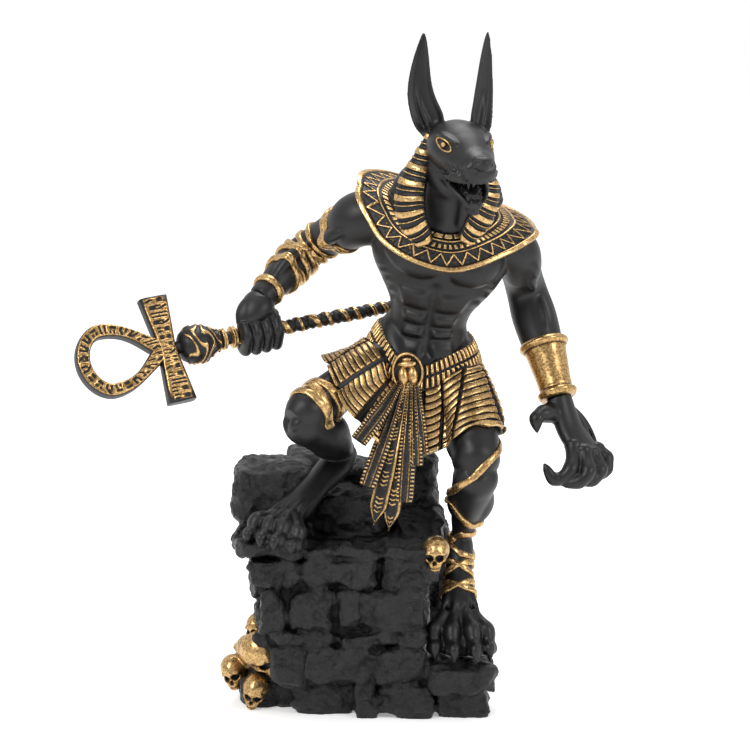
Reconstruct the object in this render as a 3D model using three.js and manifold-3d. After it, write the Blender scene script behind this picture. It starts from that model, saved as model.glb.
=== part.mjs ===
// A jackal-headed figure that stalks forward over a ruined wall, with an ankh staff held in its right fist.
// A table-top casting, about 30 cm tall, in three pieces: the figure, the staff, and the wall that it
// stands on.
// Millimetres. X runs to the viewer's right, Y away from the viewer, Z up. The origin is on the floor,
// under the middle of the wall. Left and right in names are the figure's own.

import * as THREE from "three";
import { mergeVertices } from "three/addons/utils/BufferGeometryUtils.js";
import Module from "manifold-3d";

const wasm = await Module();
wasm.setup();

const SEAT_GAP = 0.3; // left between two pieces where one sits in the other
const TURN = 2 * Math.PI;
const FLAT_SIDES = [45, 135, 225, 315].map(THREE.MathUtils.degToRad); // long edges of a squared limb

const point = (x, y, z) => new THREE.Vector3(x, y, z);
const heading = (x, y, z) => point(x, y, z).normalize();
const between = (a, b, share) => a.clone().lerp(b, share);
const mix = THREE.MathUtils.lerp;

// The places that the pose hangs on.
const POSE = {
  hips: point(26, 5, 150),
  waist: point(27, 1, 168),
  ribs: point(30.8, -6, 190),
  chest: point(33, -11, 207),
  neckBase: point(34, -15, 219),
  head: point(38.9, -35.5, 247.3),
  rightShoulder: point(-3, -4, 212.5),
  rightElbow: point(-25, 16, 197),
  rightWrist: point(-46.6, -2.5, 177.5),
  leftShoulder: point(64.4, -7, 199.5),
  leftElbow: point(71, 13, 177),
  leftWrist: point(84, -6, 134),
  rightHip: point(12, 4, 150),
  rightKnee: point(-29, -33, 130),
  rightHock: point(-10, -3, 108),
  rightBall: point(-35, -33, 86),
  leftHip: point(36, 3, 143),
  leftKnee: point(48, -32, 106),
  leftHock: point(41.6, -8, 71),
  leftBall: point(40, -30, 42),
};
const ACROSS_TORSO = heading(1, 0, -0.19); // the shoulders dip to the left hand
const HEAD_YAW = 0.34; // radians that the face turns to its left
const HEAD_PITCH = 0.16; // radians that it looks down

// The head's own directions: along the muzzle, towards its left ear, and out of its crown.
const MUZZLE = heading(
  Math.cos(HEAD_PITCH) * Math.sin(HEAD_YAW),
  -Math.cos(HEAD_PITCH) * Math.cos(HEAD_YAW),
  -Math.sin(HEAD_PITCH),
);
const EARWARD = heading(Math.cos(HEAD_YAW), Math.sin(HEAD_YAW), 0);
const CROWN = point(0, 0, 0).crossVectors(EARWARD, MUZZLE).negate();

const STAFF = {
  middle: point(-86.7, -19.5, 157.4), // where the ankh's arms cross
  run: heading(0.903, 0.415, 0.113), // from the ankh towards the fist
  tilt: 0.42, // radians that the ankh's face leans up
  shaft: 2.9,
  length: 122,
  thick: 6.6,
};

// Turns a closed three.js geometry into a solid with its faces pointing out.
function solid(geometry) {
  const bare = new THREE.BufferGeometry();
  bare.setAttribute("position", geometry.getAttribute("position").clone());
  bare.setIndex(geometry.index);
  const merged = mergeVertices(bare, 1e-4);
  const make = (triVerts) => {
    const vertProperties = merged.attributes.position.array;
    return new wasm.Manifold(new wasm.Mesh({ numProp: 3, vertProperties, triVerts }));
  };
  const corners = new Uint32Array(merged.index.array);
  const made = make(corners);
  return made.volume() < 0 ? make(corners.reverse()) : made;
}

const join = (solids) => solids.reduce((sum, one) => sum.add(one));

// A closed surface over rows of points. Each row is a ring. The first and last rows get a cap, and the
// last cap may swell by a crown, or the rows close on themselves like a tyre.
function skin(rows, tyre = false, crown = point(0, 0, 0)) {
  const around = rows[0].length;
  const places = rows.flat();
  const corners = [];
  const last = rows.length - 1;
  for (let row = 0; row < (tyre ? rows.length : last); row++) {
    const near = row * around;
    const far = ((row + 1) % rows.length) * around;
    for (let i = 0; i < around; i++) {
      const next = (i + 1) % around;
      corners.push(near + i, near + next, far + next, near + i, far + next, far + i);
    }
  }
  if (!tyre) {
    for (const row of [0, last]) {
      const middle = rows[row].reduce((sum, p) => sum.add(p), point(0, 0, 0)).divideScalar(around);
      if (row === last) middle.add(crown);
      places.push(middle);
      for (let i = 0; i < around; i++) {
        const pair = [row * around + i, row * around + ((i + 1) % around)];
        if (row === 0) pair.reverse();
        corners.push(places.length - 1, ...pair);
      }
    }
  }
  const geometry = new THREE.BufferGeometry().setFromPoints(places);
  geometry.setIndex(corners);
  return solid(geometry);
}

// A limb follows a smooth line through its joints. Each section gives its place along the joints (0 at
// the first, 1 at the next), its half width, its half depth, and how far its middle is moved in depth.
// Depth points along (line x side): backwards on a limb that runs up, forwards on one that runs down.
// Relief gives the height that muscles add at a place and an angle. Bands are straps that lie round the
// limb as ridges, each with its place, its half width as a step of place, and how far it leans.
class Limb {
  constructor(joints, sections, side = point(1, 0, 0), { relief = () => 0, bands = [] } = {}) {
    this.line = new THREE.CatmullRomCurve3(joints, false, "catmullrom", 0.5);
    this.spans = joints.length - 1;
    this.sections = sections;
    this.side = side;
    this.relief = relief;
    this.bands = bands;
  }
  size(place) {
    const rows = this.sections;
    const next = rows.findIndex((row) => row[0] > place);
    if (next < 0) return rows[rows.length - 1];
    if (next === 0) return rows[0];
    const [a, b] = [rows[next - 1], rows[next]];
    const share = (place - a[0]) / (b[0] - a[0]);
    return a.map((value, i) => mix(value, b[i] ?? 0, share));
  }
  frame(place) {
    const share = THREE.MathUtils.clamp(place / this.spans, 0, 1);
    const along = this.line.getTangent(share);
    const side = this.side.clone().addScaledVector(along, -this.side.dot(along)).normalize();
    const depth = point(0, 0, 0).crossVectors(along, side);
    const middle = this.line.getPoint(share);
    middle.addScaledVector(depth, this.size(place)[3] ?? 0);
    return { along, side, depth, middle };
  }
  at(place, angle, proud = 0) {
    const { side, depth, middle } = this.frame(place);
    const [, wide, deep] = this.size(place);
    const height = proud + this.relief(place, angle);
    return middle
      .addScaledVector(side, (wide + height) * Math.cos(angle))
      .addScaledVector(depth, (deep + height) * Math.sin(angle));
  }
  // Sides is a count, or a list of the angles of the long edges.
  solid(sides, grow = 0) {
    const even = (count) => Array.from({ length: count }, (_, i) => (TURN * i) / count);
    const angles = Array.isArray(sides) ? sides : even(sides);
    const clear = ([place]) =>
      this.bands.every((band) => Math.abs(place - band.place) > band.half + band.lean);
    const rows = this.sections.filter(clear).map(([place]) => ({ place, lean: 0, start: 0, proud: 0 }));
    for (const { place, half, lean, start } of this.bands) {
      for (const [offset, proud] of [[-half, 0], [0, 1.4], [half, 0]]) {
        rows.push({ place: place + offset, lean, start, proud });
      }
    }
    rows.sort((a, b) => a.place - b.place);
    const ring = ({ place, lean, start, proud }, row) => {
      const beyond = row === 0 ? -grow : row === rows.length - 1 ? grow : 0;
      const push = this.frame(place).along.multiplyScalar(beyond);
      const leaning = (angle) => place + lean * Math.cos(angle - start);
      return angles.map((angle) => this.at(leaning(angle), angle, proud + grow).add(push));
    };
    return skin(rows.map(ring));
  }
}

const SMALL_EGG = [[0, 0.5], [0.5, 1], [1, 0.5]];
const LARGE_EGG = [[0, 0.4], [0.25, 0.88], [0.7, 0.92], [1, 0.4]];

function egg(middle, reach, wide, deep, side, { sides = 5, sections = SMALL_EGG } = {}) {
  const ends = [middle.clone().sub(reach), middle.clone().add(reach)];
  const sizes = sections.map(([place, share]) => [place, wide * share, deep * share]);
  return new Limb(ends, sizes, side).solid(sides);
}

// A strap that winds along a limb, from one place and angle to another, as a low ridge.
function strap(limb, { from, to, start, sweep, wide = 2.4, steps = 6 }) {
  const rows = [];
  for (let i = 0; i <= steps; i++) {
    const angle = start + (sweep * i) / steps;
    const place = mix(from, to, i / steps);
    const { along } = limb.frame(place);
    const edge = (offset, height) => limb.at(place, angle, height).addScaledVector(along, offset);
    rows.push([edge(-wide * 0.6, -0.7), edge(0, 1.5), edge(wide * 0.6, -0.7)]);
  }
  return skin(rows);
}

// The staff. Its own plane: "out" runs from the crossing towards the loop, "down" along the lower arm.
const STAFF_FACE = (() => {
  const lean = heading(0, -Math.cos(STAFF.tilt), Math.sin(STAFF.tilt));
  return lean.addScaledVector(STAFF.run, -lean.dot(STAFF.run)).normalize();
})();
const STAFF_DOWN = point(0, 0, 0).crossVectors(STAFF.run, STAFF_FACE).normalize();
const onStaff = (away, down = 0, face = 0) =>
  STAFF.middle
    .clone()
    .addScaledVector(STAFF.run, away)
    .addScaledVector(STAFF_DOWN, down)
    .addScaledVector(STAFF_FACE, face);

const ANKH = {
  reach: 41.6,
  half: 16.5,
  innerReach: 35.4,
  innerHalf: 10.6,
  arm: 24,
  armEnd: 6.5,
  armRoot: 3.7,
};

function ankh() {
  // A drop: one pointed end at the root, one round end at the reach. Both halves mirror each other.
  const drop = (outline, root, neck, belly, half, reach) => {
    const wide = (reach + belly) / 2 - 1.5;
    outline.moveTo(-root, 0);
    outline.bezierCurveTo(-neck, half * 0.46, -belly * 0.6, half, -belly, half);
    outline.bezierCurveTo(-wide - 1.5, half, -reach, half * 0.55, -reach, 0);
    outline.bezierCurveTo(-reach, -half * 0.55, -wide - 1.5, -half, -belly, -half);
    outline.bezierCurveTo(-belly * 0.6, -half, -neck, -half * 0.46, -root, 0);
    return outline;
  };
  const loop = drop(new THREE.Shape(), -5, 9, 28, ANKH.half, ANKH.reach);
  loop.holes.push(drop(new THREE.Path(), 7.6, 13, 27.5, ANKH.innerHalf, ANKH.innerReach));
  const arms = new THREE.Shape();
  arms.moveTo(-ANKH.armRoot, 0);
  arms.lineTo(-ANKH.armEnd, ANKH.arm);
  arms.lineTo(ANKH.armEnd, ANKH.arm);
  arms.lineTo(ANKH.armRoot, 0);
  arms.lineTo(ANKH.armEnd, -ANKH.arm);
  arms.lineTo(-ANKH.armEnd, -ANKH.arm);
  arms.closePath();
  const place = new THREE.Matrix4()
    .makeBasis(STAFF.run, STAFF_DOWN, STAFF_FACE)
    .setPosition(onStaff(0, 0, -STAFF.thick / 2));
  const plate = (shape) => {
    const options = { depth: STAFF.thick, bevelEnabled: false, curveSegments: 5 };
    return solid(new THREE.ExtrudeGeometry(shape, options).applyMatrix4(place));
  };
  return join([plate(loop), plate(arms)]);
}

function shaft(grow = 0) {
  const ends = [onStaff(2), onStaff(STAFF.length)];
  const knots = 12;
  const sections = Array.from({ length: knots + 1 }, (_, i) => {
    const radius = STAFF.shaft * (1 - 0.25 * (i / knots) ** 3) + 0.35 * (i % 2) + grow;
    return [i / knots, radius, radius];
  });
  return new Limb(ends, sections, STAFF_FACE).solid(6);
}

// The bud under the ankh, the two rings above the fist, and the round foot behind the back.
const footOfStaff = (grow = 0) =>
  turned(
    [[-6, 2.6], [-4.5, 3.9], [0, 3.7], [2, 2]].map(([past, radius]) => [STAFF.length + past, radius]),
    grow,
  );

function turned(rows, grow = 0) {
  const [first, last] = [rows[0][0] - grow, rows[rows.length - 1][0] + grow];
  const sections = rows.map(([away, radius]) => {
    const share = THREE.MathUtils.clamp((away - first) / (last - first), 0, 1);
    return [share, radius + grow, radius + grow];
  });
  return new Limb([onStaff(first), onStaff(last)], sections, STAFF_FACE).solid(8);
}

const staffFittings = () =>
  join([
    turned([[5.5, 4], [8.5, 7.6], [13, 8.9], [18, 8.1], [22, 5.4], [25.2, 3.3]]),
    turned([[25.1, 4.1], [27.5, 4.1]]),
    turned([[30, 4.3], [32.5, 4.3]]),
    footOfStaff(),
  ]);

const makeStaff = () => join([ankh(), shaft(), staffFittings()]);

// The trunk and the neck. The belly's muscles stand in three pairs beside a groove, under an arch of ribs.
const BELLY = [
  { low: 1.22, high: 1.9 },
  { low: 2.06, high: 2.26 },
  { low: 2.38, high: 2.72 },
];
const TRUNK_ANGLES = [270, 281, 298, 311, 335, 10, 60, 120, 170, 205, 229, 242, 259].map(
  THREE.MathUtils.degToRad,
);

function bellyRelief(place, angle) {
  const fromFront = Math.abs(THREE.MathUtils.radToDeg(angle) - 270);
  if (place < 1 || place > 2.9 || fromFront > 45) return 0;
  const onMuscle = BELLY.some(({ low, high }) => place >= low - 0.01 && place <= high + 0.01);
  if (fromFront < 5) return -0.5;
  if (fromFront > 35) return onMuscle ? -0.5 : 0;
  return onMuscle ? 0.9 : -0.6;
}

const trunk = new Limb(
  [point(26, 6, 138), POSE.hips, POSE.waist, POSE.ribs, POSE.chest, POSE.neckBase],
  [
    [0, 18, 12],
    [1, 20.5, 15.5],
    [BELLY[0].low, 19.8, 14.8],
    [BELLY[0].high, 17.2, 12.4],
    [1.98, 16.9, 12.2],
    [BELLY[1].low, 17, 12.2],
    [BELLY[1].high, 18, 12.6],
    [2.32, 18.5, 12.8],
    [BELLY[2].low, 19.2, 13],
    [BELLY[2].high, 24, 14.4],
    [2.9, 26.4, 15],
    [3.5, 30.8, 16.5],
    [4, 30, 15.5],
    [4.6, 24, 12],
    [5, 14, 10],
  ],
  ACROSS_TORSO,
  { relief: bellyRelief },
);

const rightArm = new Limb(
  [POSE.rightShoulder, POSE.rightElbow, POSE.rightWrist],
  [
    [0, 9.6, 9.8],
    [0.35, 9.8, 9.8],
    [0.7, 8.8, 9],
    [1, 8.6, 8.6],
    [1.3, 9, 9],
    [1.6, 7.6, 8],
    [1.85, 6.2, 6.6],
    [2, 5.8, 6],
  ],
  heading(0.5, 0.2, 0.85),
  {
    bands: [
      { place: 0.3, half: 0.09, lean: 0.05, start: 1 },
      { place: 0.64, half: 0.05, lean: 0.08, start: 2 },
      { place: 1.0, half: 0.07, lean: 0.16, start: 5 },
      { place: 1.4, half: 0.09, lean: 0.07, start: 2 },
      { place: 1.58, half: 0.06, lean: 0.03, start: 1 },
      { place: 1.84, half: 0.05, lean: 0.04, start: 2 },
    ],
  },
);
const leftArm = new Limb(
  [POSE.leftShoulder, POSE.leftElbow, POSE.leftWrist],
  [
    [0, 9.6, 9.8],
    [0.4, 9.6, 10],
    [0.75, 9, 9.4],
    [1, 9.6, 9],
    [1.25, 10.4, 9.6],
    [1.55, 9.2, 8.6],
    [1.85, 7, 6.6],
    [2, 6.2, 5.6],
  ],
  heading(0.9, 0.35, 0.1),
);

function shoulders() {
  const right = new Limb(
    [point(14, -8, 215), POSE.rightShoulder, point(-12, 5, 203)],
    [[0, 8, 8], [0.6, 10.8, 11.4], [1, 11.8, 12.2], [1.5, 10.4, 10.6], [2, 7, 7]],
    point(0, 1, 0),
  );
  const left = new Limb(
    [point(50, -10, 205), POSE.leftShoulder, point(68.5, 2, 187)],
    [[0, 8, 8], [0.6, 9.2, 9.6], [1, 10, 10], [1.5, 9.6, 9.2], [2, 8, 8]],
    point(0, 1, 0),
  );
  return join([right.solid(8), left.solid(8)]);
}

// The fist. Its fingers curl round the shaft, over the front and back underneath.
function fist() {
  const grip = onStaff(42.5);
  const front = point(0, -1, 0).addScaledVector(STAFF.run, STAFF.run.y).normalize();
  const up = point(0, 0, 0).crossVectors(front, STAFF.run).normalize();
  if (up.z < 0) up.negate();
  const beside = (along, out, high) =>
    grip
      .clone()
      .addScaledVector(STAFF.run, along)
      .addScaledVector(front, out)
      .addScaledVector(up, high);
  const back = new Limb(
    [POSE.rightWrist, beside(0, 3.5, 8.4), beside(0, 5.6, 1)],
    [[0, 5.8, 6], [0.5, 8.2, 5.6], [1, 10, 5], [2, 8.4, 2.4]],
    STAFF.run,
  );
  const parts = [back.solid(8)];
  const curl = [[4.5, 6], [7.2, 0], [3.4, -6.4], [-4, -4.4]];
  for (let finger = 0; finger < 4; finger++) {
    const along = -7.4 + 4.9 * finger;
    const reach = 1 - 0.05 * Math.abs(finger - 1.3);
    const joints = curl.map(([out, high]) => beside(along, out * reach, high * reach));
    const sections = [[0, 3.1, 4.6], [1, 3.3, 4], [2, 3, 3.2], [3, 2.2, 2]];
    parts.push(new Limb(joints, sections, STAFF.run).solid(FLAT_SIDES));
  }
  const thumb = [beside(6, 1, 7), beside(4.5, -5.5, 3.5), beside(1, -6.6, -2)];
  parts.push(new Limb(thumb, [[0, 3, 3], [1, 2.8, 2.6], [2, 1.8, 1.8]], STAFF.run).solid(5));
  return join(parts);
}

// The open left hand hangs like a claw.
const LEFT_FINGERS = [
  [point(91, -18, 114), point(88.5, -25, 106), point(81.5, -27, 101.8), point(76.6, -27, 109)],
  [point(95, -19, 112), point(96, -25, 105), point(92, -27, 100.8), point(84, -26.5, 99.2)],
  [point(99, -15.5, 110.5), point(101.5, -20, 104.5), point(98, -22.5, 100.6), point(91.5, -22.5, 99.2)],
  [point(101, -11, 111.5), point(105, -13, 108.5), point(105, -15.5, 104), point(101.8, -16.5, 99.4)],
];
const LEFT_THUMB = [
  point(83, -9, 127.5),
  point(77, -15.5, 128.6),
  point(73.8, -19.5, 127),
  point(74, -20.5, 120.9),
];

function openHand() {
  const palm = new Limb(
    [POSE.leftWrist, point(89.3, -11, 120), point(97, -16, 110.5)],
    [[0, 6, 5.4], [0.5, 6.4, 5], [1, 7.2, 4.8], [1.6, 8.4, 4.4], [2, 7.6, 3.4]],
    heading(0.72, 0.6, -0.2),
  );
  const sections = [[0, 3.8, 4], [1, 3.6, 3.5], [2, 2.9, 2.8], [3, 0.5, 0.5]];
  const fingers = LEFT_FINGERS.map((joints) => new Limb(joints, sections).solid(FLAT_SIDES));
  const thumb = new Limb(LEFT_THUMB, [[0, 5.4, 5.4], [1, 4.4, 4.2], [2, 3.3, 3.2], [3, 0.5, 0.5]]);
  return join([palm.solid(6), ...fingers, thumb.solid(FLAT_SIDES)]);
}

function cuff() {
  const top = leftArm.frame(1.5).middle.add(point(0.5, 0, 0));
  const bottom = leftArm.frame(2).middle;
  const rows = [[0, 10.6], [0.14, 10.4], [0.2, 9.4], [0.86, 7.5], [0.9, 8.5], [1, 8.2]];
  return new Limb([top, bottom], rows.map(([place, radius]) => [place, radius, radius])).solid(10);
}

const rightThigh = new Limb(
  [POSE.rightHip, point(-11, -18, 140.5), point(-32, -34.5, 129)],
  [[0, 14, 14], [0.5, 11.6, 12.4], [1, 9.6, 10.4], [1.5, 9.2, 9.8], [1.85, 8.6, 9], [2, 5.4, 6]],
  heading(-0.6, 0.6, 0.5),
  {
    bands: [
      { place: 1.5, half: 0.07, lean: 0.04, start: 1 },
      { place: 1.68, half: 0.07, lean: 0.04, start: 2 },
    ],
  },
);
const rightShank = new Limb(
  [point(-31.5, -35, 129), point(-18, -18, 121), POSE.rightHock],
  [[0, 5, 5], [0.25, 9.2, 9.6], [0.9, 9.8, 11.4], [1.5, 7.8, 9], [2, 4.4, 4.6]],
);
const rightInstep = new Limb(
  [point(-7, 0, 109.5), between(POSE.rightHock, POSE.rightBall, 0.5), POSE.rightBall],
  [[0, 3.4, 4], [0.25, 6.2, 6], [1, 6.6, 5.6], [1.6, 8.6, 5], [2, 10, 4.2]],
  heading(0.9, -0.3, 0),
);
const leftThigh = new Limb(
  [POSE.leftHip, point(44, -13, 126), point(48.5, -34, 105)],
  [[0, 13, 14], [0.6, 13.4, 15], [1, 13, 14], [1.6, 11.4, 12.4], [1.86, 9.6, 10], [2, 6, 6]],
);
const leftShank = new Limb(
  [point(48, -35, 108), point(44.4, -19, 90), POSE.leftHock],
  [[0, 5, 5], [0.16, 9.4, 8.4], [0.5, 10, 10], [0.9, 8, 9.4], [1.4, 6.4, 7.4], [2, 4, 4]],
  point(1, 0, 0),
  { bands: [{ place: 1.62, half: 0.07, lean: 0.1, start: 0 }] },
);
const leftInstep = new Limb(
  [point(41.6, -5, 75), point(40.2, -18.5, 57.5), POSE.leftBall],
  [[0, 3.6, 4], [0.3, 5.6, 5.8], [1, 5.8, 5.4], [1.6, 8.2, 5.4], [2, 10.6, 4.6]],
  point(1, 0, 0),
  {
    bands: [
      { place: 0.46, half: 0.08, lean: 0.12, start: 0 },
      { place: 1.05, half: 0.08, lean: 0.12, start: 0 },
    ],
  },
);

// Each toe starts in the instep, arches over its knuckle and ends in a claw.
const RIGHT_TOES = [
  [-50.5, -44, 77.5],
  [-45, -50, 77],
  [-39, -53, 76.5],
  [-31.5, -50, 74],
];
const LEFT_TOES = [
  [29.4, -44, 25.6],
  [37.6, -48.5, 25.6],
  [46.8, -49, 25.6],
  [53, -43.5, 25],
];

function toes(tips, ball, rise) {
  return tips.map(([x, y, z]) => {
    const tip = point(x, y, z);
    const root = between(ball, tip, 0.25).setZ(ball.z + 0.5);
    const knuckle = between(ball, tip, 0.66).setZ(z + rise);
    const nail = between(ball, tip, 0.92).setZ(z + rise * 0.32);
    return new Limb([root, knuckle, nail, tip], [[0, 4.6, 4.2], [1, 5, 4.6], [2, 3.6, 3], [3, 0.8, 0.8]]);
  });
}
const rightToes = toes(RIGHT_TOES, POSE.rightBall, 7);
const leftToes = toes(LEFT_TOES, POSE.leftBall, 11);

const rightFoot = (grow = 0) =>
  join([rightInstep.solid(8, grow), ...rightToes.map((toe) => toe.solid(FLAT_SIDES, grow))]);

const legs = () =>
  join([
    rightThigh.solid(8),
    rightShank.solid(8),
    rightFoot(),
    leftThigh.solid(8),
    leftShank.solid(8),
    leftInstep.solid(8),
    ...leftToes.map((toe) => toe.solid(FLAT_SIDES)),
  ]);

// The jackal's head, in its own directions: forward along the muzzle, aside to its left, and up.
const onHead = (forward, aside, up) =>
  POSE.head
    .clone()
    .addScaledVector(MUZZLE, forward)
    .addScaledVector(EARWARD, aside)
    .addScaledVector(CROWN, up);

function head() {
  const skull = new Limb(
    [onHead(-14, 0, -3), onHead(0, 0, 0), onHead(10, 0, -1), onHead(18, 0, -2.6), onHead(28, 0, -2.8)],
    [
      [0, 5, 4],
      [0.35, 11.4, 9.4],
      [1, 14, 11.2],
      [1.8, 12.2, 9.8],
      [2.5, 8.2, 7],
      [3, 6.4, 5.8],
      [3.7, 6.2, 5],
      [4, 4.2, 3.6],
    ],
    EARWARD,
  );
  const jaw = new Limb(
    [onHead(0, 0, -9), onHead(9, 0, -12.5), onHead(17, 0, -16.5), onHead(23.5, 0, -19.8)],
    [[0, 9, 5], [1, 8, 4], [2, 6, 3], [3, 3.6, 2.2]],
    EARWARD,
  );
  const throat = new Limb(
    [onHead(-3, 0, -5), point(35.5, -27, 228), point(34, -17, 208)],
    [[0, 11, 10], [1, 11, 9.8], [2, 12.5, 10.5]],
  );
  const parts = [skull.solid(9), jaw.solid(6), throat.solid(8)];
  for (const hand of [-1, 1]) {
    const eye = onHead(9.8, hand * 9.8, 3.6);
    parts.push(egg(eye, MUZZLE.clone().multiplyScalar(4), 1.9, 2.6, EARWARD));
  }
  parts.push(egg(onHead(27.2, 0, -0.4), EARWARD.clone().multiplyScalar(3.6), 2.2, 2.2, CROWN));
  return join(parts);
}

// An ear is a long leaf with a hollow face: each section is a shallow crescent.
const EARS = [
  { root: point(28, -30.4, 252.4), bow: point(-4.4, 0.6, 0), tip: point(23.6, -23, 294.6), size: 1.04 },
  { root: point(48, -34.5, 252.5), bow: point(0, 1.6, 0), tip: point(50.9, -27, 295.4), size: 0.98 },
];

function ear({ root, bow, tip, size }, order) {
  const line = new THREE.CatmullRomCurve3([root, between(root, tip, 0.42).add(bow), tip]);
  const open = EARWARD.clone().multiplyScalar(order ? 0.5 : -0.42).addScaledVector(MUZZLE, 0.9).normalize();
  const rows = [
    [0, 5, 3.8],
    [0.14, 6.9, 4.4],
    [0.36, 6.4, 3.8],
    [0.6, 4.9, 3.2],
    [0.84, 2.6, 2],
    [1, 0.5, 0.5],
  ];
  return skin(
    rows.map(([share, half, deep]) => {
      const middle = line.getPoint(share);
      const along = line.getTangent(share);
      const face = open.clone().addScaledVector(along, -open.dot(along)).normalize();
      const across = point(0, 0, 0).crossVectors(along, face).multiplyScalar(half * size);
      const corner = (x, y) => middle.clone().addScaledVector(across, x).addScaledVector(face, y * deep);
      const round = [corner(1, 0.55), corner(0.7, -0.55), corner(-0.7, -0.55), corner(-1, 0.55)];
      return [...round, corner(-0.5, 0.2), corner(0, -0.1), corner(0.5, 0.2)];
    }),
  );
}

// The striped head cloth: a hood that flares behind the neck, and two lappets that fall on the collar.
const hood = new Limb(
  [onHead(-11, 0, 4), point(37, -20, 244), point(35, -14, 234), point(34, -10, 222), point(34, -6, 214)],
  [[0, 7, 5], [1, 12.8, 8.4], [1.8, 17.4, 11], [2.4, 23, 12], [3, 25, 13], [4, 25, 13.4]],
  heading(0.97, 0.2, -0.06),
);
const pointsOf = (...places) => places.map((place) => point(...place));
const LAPPETS = [
  {
    joints: pointsOf([26, -28, 250], [22, -33, 239], [18.8, -36, 227], [19.6, -37, 216], [25, -34.5, 207]),
    face: heading(-0.42, -0.9, 0.1),
    wide: [2, 4.6, 6.6, 6.2, 3.4],
  },
  {
    joints: pointsOf([50.5, -29, 243], [51.6, -33.5, 234], [51.4, -36, 225], [48, -37.5, 216], [42, -35, 207.5]),
    face: heading(0.5, -0.85, 0.1),
    wide: [2.6, 4, 5, 5.2, 3.4],
  },
];
const STRIPES = 6;

function lappet({ joints, face, wide }) {
  const line = new THREE.CatmullRomCurve3(joints, false, "catmullrom", 0.5);
  const widths = new Limb(joints, wide.map((half, i) => [i, half, half]));
  const rows = [];
  for (let i = 0; i < STRIPES; i++) {
    for (const [edge, thick] of [[0.03, 1.4], [0.4, 2.8]]) {
      const share = (i + edge) / STRIPES;
      const along = line.getTangent(share);
      const out = face.clone().addScaledVector(along, -face.dot(along)).normalize();
      const across = point(0, 0, 0).crossVectors(along, out);
      const [, half] = widths.size(share * (joints.length - 1));
      const corner = (x, y) =>
        line.getPoint(share).addScaledVector(across, x * half).addScaledVector(out, y);
      rows.push([corner(-1, -3), corner(-0.8, thick), corner(0.8, thick), corner(1, -3)]);
    }
  }
  return skin(rows);
}

function headCloth() {
  const rows = [];
  for (let i = 0; i < STRIPES; i++) {
    for (const [edge, proud] of [[0.05, 0], [0.6, 0.8]]) {
      const place = (3.2 * (i + edge)) / STRIPES;
      rows.push(Array.from({ length: 9 }, (_, k) => hood.at(place, (TURN * k) / 9, proud)));
    }
  }
  return join([skin(rows), ...LAPPETS.map(lappet)]);
}

// The broad collar lies on the shoulders. Its neck line and its outer edge are two loops, given from
// the left hand round the front, and a band between them is 0 at the neck and 1 at the outer edge.
const loopOf = (rows) => new THREE.CatmullRomCurve3(pointsOf(...rows), true, "catmullrom", 0.5);
const COLLAR = {
  neck: loopOf([
    [50, -15, 215], [45, -25, 211], [35, -29.5, 209], [24, -26, 212],
    [18, -16, 218], [22, -2, 222], [34, 3, 222], [46, -3, 219],
  ]),
  edge: loopOf([
    [72.4, -6, 206.5], [60.7, -23, 199.5], [34, -31.5, 193], [6.5, -23, 205],
    [-3.4, -3, 228.5], [8, 17, 230], [36, 26, 219], [63, 16, 213],
  ]),
  stations: 24,
};

function onCollar(band, share, proud) {
  const [neck, edge] = [COLLAR.neck.getPoint(share), COLLAR.edge.getPoint(share)];
  const place = between(neck, edge, band);
  place.z += 5 * band * (1 - band);
  const away = place.clone().sub(point(34, -2, 192)).normalize();
  return place.addScaledVector(away, proud);
}

function collar() {
  // Bars, then a zigzag: the height of a row swaps between odd and even stations.
  const profile = [
    [0, 1, 1], [0.36, 1.4, 0.3], [0.56, 1.4, 0.3], [0.6, 1.7, 1.7], [0.66, 0.2, 1.3],
    [0.86, 1.3, 0.2], [0.9, 1.8, 1.8], [1, 1.4, 1.4], [0.96, -3, -3], [0, -4, -4],
  ];
  const rows = Array.from({ length: COLLAR.stations }, (_, i) =>
    profile.map(([band, even, odd]) => onCollar(band, i / COLLAR.stations, i % 2 ? odd : even)),
  );
  return skin(rows, true);
}

// The kilt hangs from the belt in ribbed strips. Its loops are given strip by strip, from under the sash
// round the left hip, the back and the right hip, and over the raised right thigh.
const KILT = {
  top: loopOf([
    [18, -15, 141], [27, -14, 141.4], [37, -9.5, 145.2], [44, -3, 147.5],
    [47.3, 6, 149.5], [42, 17, 153], [27, 22.5, 155], [10, 18, 158],
    [3.4, 7, 158.5], [3.4, -1, 157], [5.5, -7.5, 153.5], [11, -13.4, 146.5],
  ]),
  hem: loopOf([
    [13, -32.5, 112.5], [24.7, -31, 113], [36, -29.5, 117], [47.5, -22.5, 119.5],
    [54.6, -5, 120], [50, 17, 120], [27, 28, 120], [3, 23, 128],
    [-12.5, 8, 144], [-18.5, -9, 153], [-14.5, -28, 147.5], [-7, -37.5, 133],
  ]),
  strips: 9,
  ribs: 4,
  beltTall: 8,
};
const KILT_MIDDLE = point(26, 4, 138);

function onKilt(round, down, proud) {
  const share = (round / KILT.strips) % 1;
  const [top, hem] = [KILT.top.getPoint(share), KILT.hem.getPoint(share)];
  const place = between(top, hem, down);
  const away = place.clone().sub(KILT_MIDDLE).setZ(0).normalize();
  away.z = 0.35;
  return place.addScaledVector(away.normalize(), proud + 5 * down * (1 - down));
}

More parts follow.
